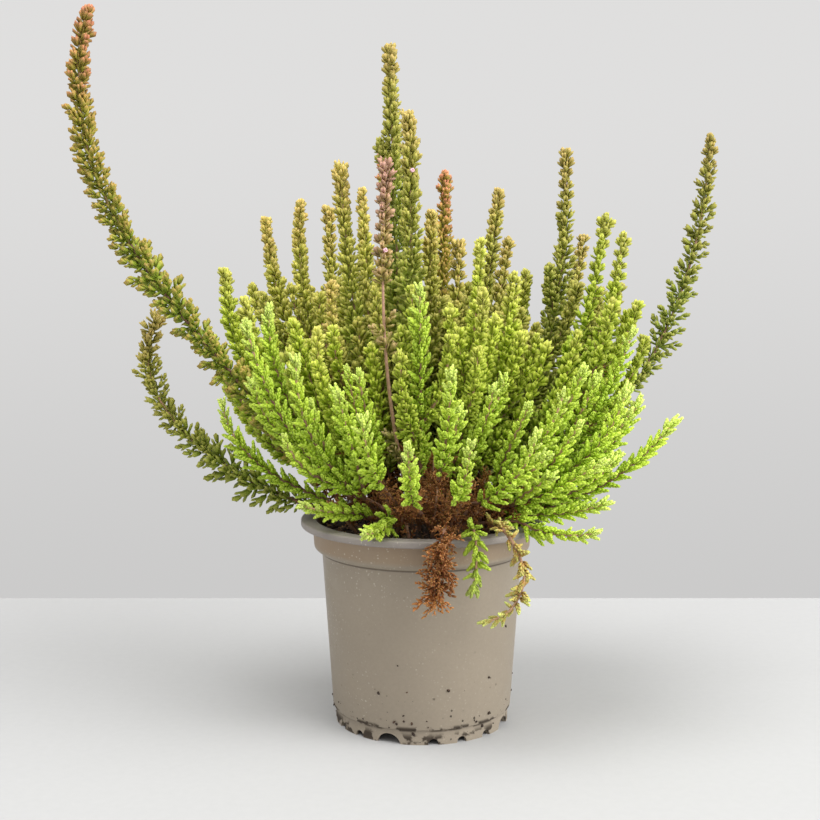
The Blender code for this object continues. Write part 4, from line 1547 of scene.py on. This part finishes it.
def model_pot(settings):
    """The pot, drawn up from its foot as one shell, then hollowed down to its floor."""
    pot = new_cylinder(POT_SIDES, FOOT_RADIUS, FOOT_LINE, (0, 0, FOOT_LINE / 2))
    bpy.ops.object.mode_set(mode="EDIT")
    pick_faces(pot, lambda centre, normal: normal.z > LEVEL)
    now = (FOOT_RADIUS, FOOT_LINE)
    for step in (
        (BODY_FOOT_RADIUS, FOOT_LINE),
        (STEP_RADIUS, STEP_HEIGHT),
        (COLLAR_FOOT_RADIUS, COLLAR_FOOT),
        (COLLAR_RADIUS, RIM_TOP - LIP_HEIGHT),
        (RIM_RADIUS, RIM_TOP - LIP_HEIGHT),
        (RIM_RADIUS, RIM_TOP),
        (COLLAR_RADIUS - WALL, RIM_TOP),
        (COLLAR_FOOT_RADIUS - WALL, COLLAR_FOOT + WALL),
        (STEP_RADIUS - WALL, STEP_HEIGHT + WALL),
        (BODY_FOOT_RADIUS - WALL, FLOOR_TOP),
    ):
        now = extrude_to(now, *step)
    pick_faces(pot, lambda centre, normal: normal.z < -LEVEL and centre.z < GAP)
    now = extrude_to((FOOT_RADIUS, 0.0), FOOT_RADIUS - FOOT_RING_WIDTH, 0.0)
    extrude_to(now, FOOT_RADIUS - FOOT_RING_WIDTH, FLOOR_UNDER)
    for ring in (
        (RIM_RADIUS, RIM_TOP, settings.lip_rounding / MM, 4),
        (RIM_RADIUS, RIM_TOP - LIP_HEIGHT, 0.5, 3),
        (COLLAR_RADIUS - WALL, RIM_TOP, 0.5, 3),
        (COLLAR_RADIUS, RIM_TOP - LIP_HEIGHT, 0.4, 2),
        (COLLAR_FOOT_RADIUS, COLLAR_FOOT, 0.6, 3),
        (STEP_RADIUS, STEP_HEIGHT, 0.5, 2),
        (BODY_FOOT_RADIUS, FOOT_LINE, 0.4, 3),
    ):
        bevel_ring(pot, *ring)
    bpy.ops.object.mode_set(mode="OBJECT")
    cutters = [
        notch_rod(ARCH_ANGLE + quarter * QUARTER + offset, width, height)
        for quarter in range(QUARTERS)
        for offset, width, height in FOOT_OPENINGS
    ]
    for index in range(DRAIN_HOLES):
        place = outward(FULL_TURN * index / DRAIN_HOLES) * DRAIN_CIRCLE
        place[2] = (FLOOR_TOP + FLOOR_UNDER) / 2
        radius = settings.drain_radius / MM
        cutters.append(new_cylinder(DRAIN_SIDES, radius, 4 * WALL, place))
    cut_away(pot, cutters)
    make_active(pot)
    bpy.ops.object.shade_smooth_by_angle(angle=math.radians(SMOOTH_BELOW))
    return pot


def model_compost():
    """The compost: a fine disc raised into its mound, roughened, and given a body below."""
    edge = COLLAR_RADIUS - WALL - 2 * GAP
    cells = {"x_subdivisions": SOIL_CELLS, "y_subdivisions": SOIL_CELLS}
    compost = new_primitive(bpy.ops.mesh.primitive_grid_add, size=2 * edge * MM, **cells)
    bpy.ops.object.mode_set(mode="EDIT")
    pick_verts(compost, lambda place: math.hypot(place.x, place.y) > edge)
    bpy.ops.mesh.delete(type="VERT")
    bpy.ops.object.mode_set(mode="OBJECT")
    places = np.array([vertex.co[:] for vertex in compost.data.vertices]) / MM
    places[:, 2] = soil_height(places[:, 0], places[:, 1]) + lump(places[:, 0], places[:, 1])
    compost.data.vertices.foreach_set("co", (places * MM).ravel())
    for size, strength in SOIL_CLOUDS:
        texture = bpy.data.textures.new("soil_clouds", "CLOUDS")
        texture.noise_scale = size * MM
        apply_modifier(
            compost, "DISPLACE", texture=texture, texture_coords="LOCAL", direction="Z",
            strength=strength * MM, mid_level=SOIL_MIDDLE,
        )
    bpy.ops.object.mode_set(mode="EDIT")
    bpy.ops.mesh.select_mode(type="EDGE")
    bpy.ops.mesh.select_all(action="DESELECT")
    bpy.ops.mesh.select_non_manifold()
    bpy.ops.mesh.extrude_region_move(TRANSFORM_OT_translate={"value": (0, 0, -SOIL_DEPTH * MM)})
    bpy.ops.mesh.fill()
    bpy.ops.mesh.select_all(action="SELECT")
    bpy.ops.mesh.normals_make_consistent(inside=False)
    bpy.ops.object.mode_set(mode="OBJECT")
    make_active(compost)
    bpy.ops.object.shade_smooth()
    return compost


# Settings that a user would change


def colour_property(name, description, colour):
    return FloatVectorProperty(
        name=name, description=description, subtype="COLOR", size=3, min=0.0, max=1.0,
        default=colour,
    )


def length_property(name, description, millimetres):
    return FloatProperty(
        name=name, description=description, subtype="DISTANCE", unit="LENGTH", min=0.0,
        precision=5, default=millimetres * MM,
    )


def count_property(name, description, count):
    return IntProperty(name=name, description=description, min=0, default=count)


def strength_property(name, description, strength, unit="NONE"):
    return FloatProperty(name=name, description=description, default=strength, unit=unit)


class HeatherPotSettings(bpy.types.PropertyGroup):
    lip_rounding: length_property("Lip rounding", "Radius of the lip's outer edge", 0.7)
    drain_radius: length_property("Drain holes", "Radius of each hole in the pot's floor", 3.0)
    fleck_count: count_property("Flecks", "How many flecks of compost stick to the wall", 170)
    largest_fleck: length_property("Largest fleck", "Width of the largest fleck", 1.7)
    body_colour: colour_property("Plastic", "Colour of the pot's plastic", (0.305, 0.256, 0.194))
    lip_colour: colour_property("Lip", "Scuffed colour of the top of the lip", (0.27, 0.238, 0.215))
    grit_colour: colour_property("Grit", "Colour of dried grit on the wall", (0.6, 0.54, 0.44))
    # The stain is partly a real dirt film and partly painted shade under the lip, with a painted
    # warm reflection.
    collar_stain_and_shade_colour: colour_property("Stain", "Warmer film on the collar", (0.31, 0.205, 0.115))
    # Dirt is also the colour of the painted shade in the collar's step and under the foot's ledge.
    dirt_and_shade_colour: colour_property("Dirt", "Colour of compost stuck to the pot", (0.03, 0.02, 0.013))


class HeatherCompostSettings(bpy.types.PropertyGroup):
    crumb_count: count_property("Crumbs", "How many loose crumbs lie on the compost", 700)
    largest_crumb: length_property("Largest crumb", "Width of the largest crumb", 2.4)
    leaf_count: count_property("Fallen leaves", "How many fallen leaves lie on it", 700)
    longest_leaf: length_property("Longest leaf", "Length of the longest fallen leaf", 2.4)
    fibre_count: count_property("Fibres", "How many bits of stem lie on the compost", 160)
    longest_fibre: length_property("Longest fibre", "Length of the longest bit of stem", 8.0)
    dark_colour: colour_property("Compost", "Colour of the damp compost", (0.035, 0.022, 0.015))
    fibre_colour: colour_property("Fibre", "Colour of peat fibre in it", (0.11, 0.06, 0.035))
    grit_colour: colour_property("Grit", "Colour of pale grit in it", (0.4, 0.36, 0.3))
    litter_dark: colour_property("Dark litter", "Darkest fallen leaves", (0.07, 0.03, 0.015))
    litter_pale: colour_property("Pale litter", "Palest fallen leaves", (0.34, 0.2, 0.09))


class HeatherFoliageSettings(bpy.types.PropertyGroup):
    seed: IntProperty(name="Seed", description="Seed of the sprigs' lean and size", default=11)
    sprig_scale: FloatProperty(
        name="Sprig size", description="Length of all sprigs", min=0.5, max=1.5, default=1.0
    )
    stem_foot: length_property("Stem at its foot", "Radius where it leaves the compost", 0.95)
    stem_middle: length_property("Stem half way", "Radius of a stem half way up", 0.62)
    stem_tip: length_property("Stem at its tip", "Radius of a stem at its tip", 0.32)
    thatch_count: count_property("Dead sprays", "How many dead sprays fill the low middle", 21)
    bud_length: length_property("Bud length", "Length of a flower bud", 2.3)
    bud_width: length_property("Bud width", "Width of one petal of a bud", 1.2)
    withered: colour_property("Withered", "Dead leaves at the stems' feet", (0.22, 0.085, 0.026))
    young_bark: colour_property("Young stem", "Stems near their tips", (0.53, 0.32, 0.19))
    old_bark: colour_property("Old stem", "Stems near the compost", (0.2, 0.1, 0.06))
    pink_bark: colour_property("Pink stem", "The bare pinkish stem", (0.5, 0.29, 0.2))
    bud_colour: colour_property("Bud", "The few flower buds", (0.62, 0.16, 0.26))
    bud_tip: colour_property("Bud tip", "Points of the buds' petals", (0.85, 0.55, 0.6))


class HeatherStageSettings(bpy.types.PropertyGroup):
    floor_colour: colour_property("Floor", "Colour of the floor", (0.465, 0.465, 0.463))
    sky_colour: colour_property("Sky", "Colour of the light all round", (0.74, 0.735, 0.73))
    sky_strength: strength_property("Sky strength", "Strength of the light all round", 1.0)
    low_sky_strength: strength_property("Low sky", "Strength of it near the floor", 0.8)
    key_size: length_property("Key size", "Width of the right light", 1500.0)
    key_power: strength_property("Key light", "Power of the right light", 26.0, "POWER")
    top_power: strength_property("Top light", "Power of the top light", 16.0, "POWER")


# Foliage tints, which become settings too: near the shoot's tip, further down, low down, and at
# the leaves' points
TINT_PARTS = {
    "young": "near the shoot's tip", "grown": "further down", "old": "low down",
    "tip": "at the leaves' points",
}
FOLIAGE_TINTS = {
    "olive": ((0.45, 0.39, 0.085), (0.37, 0.39, 0.06), (0.3, 0.38, 0.048), (0.57, 0.4, 0.15)),
    "bronze": ((0.37, 0.3, 0.052), (0.35, 0.36, 0.038), (0.3, 0.4, 0.036), (0.6, 0.24, 0.13)),
    "pink": ((0.43, 0.26, 0.155), (0.42, 0.34, 0.09), (0.36, 0.36, 0.08), (0.53, 0.3, 0.23)),
    "green": ((0.5, 0.52, 0.09), (0.43, 0.54, 0.045), (0.34, 0.49, 0.028), (0.62, 0.57, 0.14)),
    "lime": ((0.59, 0.72, 0.15), (0.52, 0.7, 0.052), (0.39, 0.56, 0.028), (0.67, 0.81, 0.2)),
    "brown": ((0.46, 0.19, 0.055), (0.33, 0.115, 0.03), (0.18, 0.055, 0.014), (0.62, 0.36, 0.15)),
    "ochre": ((0.58, 0.45, 0.13), (0.51, 0.3, 0.09), (0.39, 0.21, 0.06), (0.64, 0.73, 0.2)),
}
for foliage, tints in FOLIAGE_TINTS.items():
    for (part, where), tint in zip(TINT_PARTS.items(), tints):
        label = f"{foliage.capitalize()}, {part}"
        shown = colour_property(label, f"{foliage.capitalize()} foliage {where}", tint)
        HeatherFoliageSettings.__annotations__[f"{foliage}_{part}"] = shown

SETTINGS = {
    "heather_pot": HeatherPotSettings,
    "heather_compost": HeatherCompostSettings,
    "heather_foliage": HeatherFoliageSettings,
    "heather_stage": HeatherStageSettings,
}


# Operators


class HEATHER_OT_pot(bpy.types.Operator):
    """Models the nursery pot"""

    bl_idname = "heather.pot"
    bl_label = "Pot"

    def execute(self, context):
        settings = context.scene.heather_pot
        settle(model_pot(settings), "nursery_pot", [pot_material(settings)], "pot", "pot")
        return {"FINISHED"}


class HEATHER_OT_pot_flecks(bpy.types.Operator):
    """Sticks small flecks of compost to the outside of the pot"""

    bl_idname = "heather.pot_flecks"
    bl_label = "Compost flecks on the pot"

    def execute(self, context):
        settings = context.scene.heather_pot
        draw = np.random.default_rng(FLECK_SEED)
        flecks = Bits()
        while len(flecks.points) < settings.fleck_count:
            place, normal, angle = pot_wall_spot(draw)
            if over_opening(angle, place[2]):
                continue
            points, faces, size = drawn_crumb(draw, settings.largest_fleck, LEAST_FLECK, 3)
            points = points @ random_turn(draw).T
            points -= normal * np.outer(points @ normal, np.ones(3)) * FLECK_FLATTENING
            place = place + normal * size * FLECK_STAND
            flecks.add(place + points, faces, chance=draw.random())
        finishes = [compost_material(context.scene.heather_compost)]
        flecks.settle("pot_flecks", finishes, "compost")
        return {"FINISHED"}


class HEATHER_OT_compost(bpy.types.Operator):
    """Models the compost in the pot"""

    bl_idname = "heather.compost"
    bl_label = "Compost"

    def execute(self, context):
        finishes = [compost_material(context.scene.heather_compost)]
        settle(model_compost(), "compost_top", finishes, "compost", "compost")
        return {"FINISHED"}


class HEATHER_OT_litter(bpy.types.Operator):
    """Scatters crumbs, fibres and fallen leaves on the compost"""

    bl_idname = "heather.litter"
    bl_label = "Crumbs and litter"

    def execute(self, context):
        settings = context.scene.heather_compost
        draw = np.random.default_rng(CRUMB_SEED)
        crumbs = Bits()
        for _ in range(settings.crumb_count):
            points, faces, size = drawn_crumb(draw, settings.largest_crumb, LEAST_CRUMB, 2)
            place = soil_spot(draw) + [0, 0, CRUMB_STAND * size]
            crumbs.add(place + points @ random_turn(draw).T, faces, chance=draw.random())
        crumbs.settle("compost_crumbs", [compost_material(settings)], "compost")
        litter = Bits()
        leaf_points, faces = leaf_blank(1)
        draw = np.random.default_rng(LEAF_SEED)
        for _ in range(settings.leaf_count):
            size = settings.longest_leaf / MM * draw.uniform(LEAST_LEAF, 1.0)
            points = leaf_points * [share * size for share in LITTER_SHAPE]
            place = soil_spot(draw) + [0, 0, LITTER_STAND]
            points = points @ lying_frame(draw, LITTER_STEEPEST).T
            litter.add(place + points, faces, chance=draw.random())
        draw = np.random.default_rng(FIBRE_SEED)
        longest = settings.longest_fibre / MM
        for _ in range(settings.fibre_count):
            length = longest * draw.uniform(LEAST_FIBRE, 1.0)
            points, faces = twig_shape(length, draw.uniform(*FIBRE_RADII), 4)
            points[:, 0] += draw.uniform(-FIBRE_BEND, FIBRE_BEND) * points[:, 2] ** 2 / longest
            points[:, 2] -= points[:, 2].mean()
            place = soil_spot(draw) * FIBRE_SPOTS + [0, 0, FIBRE_STAND]
            points = points @ lying_frame(draw, FIBRE_STEEPEST).T
            litter.add(place + points, faces, chance=draw.random())
        litter.settle("fallen_litter", [litter_material(settings)], "brown")
        return {"FINISHED"}


# How much the points of the leaves differ, by foliage
TIP_AMOUNTS = {"bronze": 0.52, "pink": 0.5, "olive": 0.35, "ochre": 0.8}
PLAIN_TIP_AMOUNT = 0.3


def foliage_finish(settings, foliage):
    """The stem and leaf materials of one foliage, each made once."""
    made = bpy.data.materials
    pink = foliage == "pink"
    bark_name = "pink_bark" if pink else "bark"
    if bark_name not in made:
        young = settings.pink_bark if pink else settings.young_bark
        bark_material(bark_name, (young, settings.pink_bark if pink else settings.old_bark))
    name = foliage + "_leaves"
    if name not in made:
        tints = [getattr(settings, f"{foliage}_{part}") for part in TINT_PARTS]
        amount = TIP_AMOUNTS.get(foliage, PLAIN_TIP_AMOUNT)
        leaf_material(name, [*tints, settings.withered], amount)
    return [made[bark_name], made[name]]


def growth_of(foliage, coarse):
    return FINE_GROWTH if foliage in FINE_FOLIAGE else coarse


def grow_on_own_root(settings, name, kind, foliage, shoot):
    """Makes the piece of a stem or spray that replaces a node of its own."""
    bits = Bits()
    root = shoot.line[0] - UP * (ROOT_DEPTH + STAND)
    add_shoot(bits, shoot, other_lines(name), root)
    bits.settle(f"{name}_{kind}", foliage_finish(settings, foliage), foliage, name)


class HEATHER_OT_shoots(bpy.types.Operator):
    """Grows the living leafy shoots"""

    bl_idname = "heather.shoots"
    bl_label = "Leafy shoots"

    def execute(self, context):
        settings = context.scene.heather_foliage
        for index, (name, (*_, foliage)) in enumerate(STEMS.items()):
            lone = name in LONE_STEMS
            shoot = new_shoot(
                settings, stem_lines()[name], foliage,
                growth_of(foliage, LONE_GROWTH if lone else LIVE_GROWTH), settings.seed + index,
                STOUT_STEMS.get(name, 1.0), lift=STEM_PAINTED_LIGHT.get(name, 0.0),
                withered=LONG_WITHERED.get(name, WITHERED_REACH),
                sparse=SPARSE_STEMS.get(name, 0.0), spurs=not lone,
            )
            grow_on_own_root(settings, name, "shoot", foliage, shoot)
        return {"FINISHED"}


class HEATHER_OT_side_shoots(bpy.types.Operator):
    """Grows the side shoots that fill the bush between the main stems"""

    bl_idname = "heather.side_shoots"
    bl_label = "Side shoots"

    def execute(self, context):
        settings = context.scene.heather_foliage
        for wanted, age in SIDE_AGES.items():
            bits = Bits()
            for index, (line, foliage, parent) in enumerate(side_shoot_lines()):
                if foliage == wanted:
                    shoot = new_shoot(
                        settings, line, foliage, growth_of(foliage, SIDE_GROWTH),
                        settings.seed + SIDE_SEEDS + index, lift=STEM_PAINTED_LIGHT.get(parent, 0.0),
                        age=age,
                    )
                    add_shoot(bits, shoot, other_lines(parent), parting(line))
            bits.settle(wanted + "_side_shoots", foliage_finish(settings, wanted), wanted)
        return {"FINISHED"}


# How each spray grows: the row of SPRIG_REACH that its sprigs follow, its growth, the length
# from its foot on which it is sparse, and whether it is dry
SPRAY_GROWTH = {
    "dry_tuft_hanging": ("tuft", TUFT_GROWTH, 24.0, True),
    "dry_curl_hanging": ("ochre", CURL_GROWTH, 8.0, False),
    "green_sprig_hanging": ("lime", SPRIG_GROWTH, 14.0, False),
    "dead_spray_left": ("brown", DEAD_GROWTH, 0.0, True),
    "dead_spray_right": ("brown", DEAD_GROWTH, 0.0, True),
}


class HEATHER_OT_sprays(bpy.types.Operator):
    """Grows the dead sprays and what hangs over the rim"""

    bl_idname = "heather.sprays"
    bl_label = "Dead and hanging sprays"

    def execute(self, context):
        settings = context.scene.heather_foliage
        for index, (name, (_, foliage)) in enumerate(SPRAYS.items()):
            reach, growth, sparse, dry = SPRAY_GROWTH[name]
            shoot = new_shoot(
                settings, stem_lines()[name], reach, growth, settings.seed + SPRAY_SEEDS + index,
                lift=STEM_PAINTED_LIGHT.get(name, 0.0), withered=SPRAY_BARE, sparse=sparse, dry=dry,
            )
            grow_on_own_root(settings, name, "spray", foliage, shoot)
        return {"FINISHED"}


class HEATHER_OT_thatch(bpy.types.Operator):
    """Fills the low middle of the bush with short dead sprays"""

    bl_idname = "heather.thatch"
    bl_label = "Dead thatch"

    def execute(self, context):
        settings = context.scene.heather_foliage
        draw = np.random.default_rng(THATCH_SEED)
        bits = Bits()
        placed = 0
        while placed < settings.thatch_count:
            line = thatch_line(draw)
            if not is_clear(line[CURVE_POINTS // 3:], POT_MARGIN).all():
                continue
            seed = int(draw.integers(SEED_RANGE))
            shoot = new_shoot(settings, line, "brown", THATCH_GROWTH, seed, dry=True)
            add_shoot(bits, shoot, line + ALONE, line[0] - UP * THATCH_ROOT)
            placed += 1
        bits.settle("dead_thatch", foliage_finish(settings, "brown"), "brown")
        return {"FINISHED"}


# The few buds: the stem that bears each, and how far below its tip
BUDS = (("pink_stem", 30.0), ("tall_middle_b", 19.0))
BUD_AXIS = (0.25, -1.0, 0.35)
BUD_PETALS = 4
BUD_OPEN = 14.0
BUD_STAND = 2.4
PETAL_THICKNESS = 0.7
PETAL_STAND = 0.15
STALK_RADIUS = 0.3
STALK_EXTRA = 0.4


class HEATHER_OT_buds(bpy.types.Operator):
    """Sets the few pink buds on the front of their stems"""

    bl_idname = "heather.buds"
    bl_label = "Flower buds"

    def execute(self, context):
        settings = context.scene.heather_foliage
        length, width = settings.bud_length / MM, settings.bud_width / MM
        petal_points, petal_faces = leaf_blank(2)
        petal = petal_points * [width, PETAL_THICKNESS * width, length]
        petal_tip = np.clip(petal_points[:, 2], 0, 1)
        axis = unit(np.array(BUD_AXIS))
        across = unit(np.cross(axis, UP))
        other = np.cross(axis, across)
        bits = Bits()
        for name, below in BUDS:
            line = stem_lines()[name]
            fine = arc_resample(line, FINE_POINTS)
            foot = fine[below_tip(fine, line_length(line), below)]
            for number in range(BUD_PETALS):
                away = turned(FULL_TURN * number / BUD_PETALS, across, other)
                place = foot + BUD_STAND * axis + PETAL_STAND * away
                points = set_in(petal, place, *leaf_frame(math.radians(BUD_OPEN), away, axis))
                bits.add(points, petal_faces, leaf_tip=petal_tip)
            stalk, stalk_faces = twig_shape(BUD_STAND + STALK_EXTRA, STALK_RADIUS)
            bits.add(set_in(stalk, foot, across, other, axis), stalk_faces)
        bits.settle("flower_buds", [bud_material(settings)], "pink")
        return {"FINISHED"}


# Stage. The lights' places and the place that they are aimed at are in metres.
LIGHT_AIM = (0.0, 0.0, 0.12)
KEY_PLACE = (1.15, -0.6, 0.9)
TOP_PLACE = (-0.35, -0.3, 1.5)
TOP_SIZE = 1.0
SKY_TURN = (-0.3, 0.12)
CAMERA_PLACE = (-4.44, -500.0, 176.0)
CAMERA_PITCH = 6.79
PHOTO_SIDE = 820
FOCAL_PIXELS = 1361.5
FLOOR_SIDE = 6000.0
FLOOR_BACK = 173.0


def area_light(name, place, size, power):
    """A round soft light, aimed at the middle of the plant."""
    data = bpy.data.lights.new(name, "AREA")
    data.shape = "DISK"
    data.size = size
    data.energy = power
    light = bpy.data.objects.new(name, data)
    bpy.context.scene.collection.objects.link(light)
    light.location = place
    light.rotation_euler = (Vector(LIGHT_AIM) - Vector(place)).to_track_quat("-Z", "Y").to_euler()


class HEATHER_OT_stage(bpy.types.Operator):
    """Sets the floor, the soft lights and the camera"""

    bl_idname = "heather.stage"
    bl_label = "Stage"

    def execute(self, context):
        scene = context.scene
        settings = scene.heather_stage
        middle = (0, (FLOOR_BACK - FLOOR_SIDE / 2) * MM, 0)
        plane = bpy.ops.mesh.primitive_plane_add
        floor = new_primitive(plane, size=FLOOR_SIDE * MM, location=middle)
        finish = Finish("pale_floor")
        colour = finish.mottled(solid(settings.floor_colour), 300.0, 0.03)["Colour"]
        floor.name = "floor"
        floor.data.materials.append(finish.done(colour, 0.9, {"Specular IOR Level": 0.2}))
        world = bpy.data.worlds.new("studio")
        scene.world = world
        world.use_nodes = True
        sky = Wiring(world.node_tree)
        toward = sky.add("ShaderNodeTexCoord").outputs["Generated"]
        rise = sky.add("ShaderNodeSeparateXYZ", {0: toward}).outputs["Z"]
        strengths = (settings.low_sky_strength, settings.sky_strength)
        strength = sky.ramp(rise, *SKY_TURN, *strengths)
        given = {"Color": solid(settings.sky_colour), "Strength": strength}
        sky.give(world.node_tree.nodes["Background"], given)
        area_light("key", KEY_PLACE, settings.key_size, settings.key_power)
        area_light("top", TOP_PLACE, TOP_SIZE, settings.top_power)
        camera = bpy.data.objects.new("camera", bpy.data.cameras.new("camera"))
        scene.collection.objects.link(camera)
        camera.location = Vector(CAMERA_PLACE) * MM
        camera.rotation_euler = (math.radians(90.0 - CAMERA_PITCH), 0.0, 0.0)
        camera.data.lens = camera.data.sensor_width * FOCAL_PIXELS / PHOTO_SIDE
        scene.camera = camera
        scene.view_settings.view_transform = "Standard"
        return {"FINISHED"}


OPERATORS = (
    HEATHER_OT_pot,
    HEATHER_OT_pot_flecks,
    HEATHER_OT_compost,
    HEATHER_OT_litter,
    HEATHER_OT_shoots,
    HEATHER_OT_side_shoots,
    HEATHER_OT_sprays,
    HEATHER_OT_thatch,
    HEATHER_OT_buds,
    HEATHER_OT_stage,
)


class HEATHER_PT_panel(bpy.types.Panel):
    """Lists the heather's pieces and settings"""

    bl_idname = "HEATHER_PT_panel"
    bl_label = "Potted heather"
    bl_space_type = "VIEW_3D"
    bl_region_type = "UI"
    bl_category = "Heather"

    def draw(self, context):
        for operator in OPERATORS:
            self.layout.operator(operator.bl_idname)
        for name, group in SETTINGS.items():
            box = self.layout.box()
            box.label(text=name.replace("_", " ").capitalize())
            for key in group.__annotations__:
                box.prop(getattr(context.scene, name), key)


CLASSES = (*SETTINGS.values(), *OPERATORS, HEATHER_PT_panel)


def register():
    for kind in CLASSES:
        bpy.utils.register_class(kind)
    for name, group in SETTINGS.items():
        setattr(bpy.types.Scene, name, PointerProperty(type=group))


def unregister():
    for name in SETTINGS:
        delattr(bpy.types.Scene, name)
    for kind in reversed(CLASSES):
        bpy.utils.unregister_class(kind)


def main():
    register()
    bpy.ops.heather.pot()
    bpy.ops.heather.pot_flecks()
    bpy.ops.heather.compost()
    bpy.ops.heather.litter()
    bpy.ops.heather.shoots()
    bpy.ops.heather.side_shoots()
    bpy.ops.heather.sprays()
    bpy.ops.heather.thatch()
    bpy.ops.heather.buds()
    bpy.ops.heather.stage()


if __name__ == "__main__":
    main()
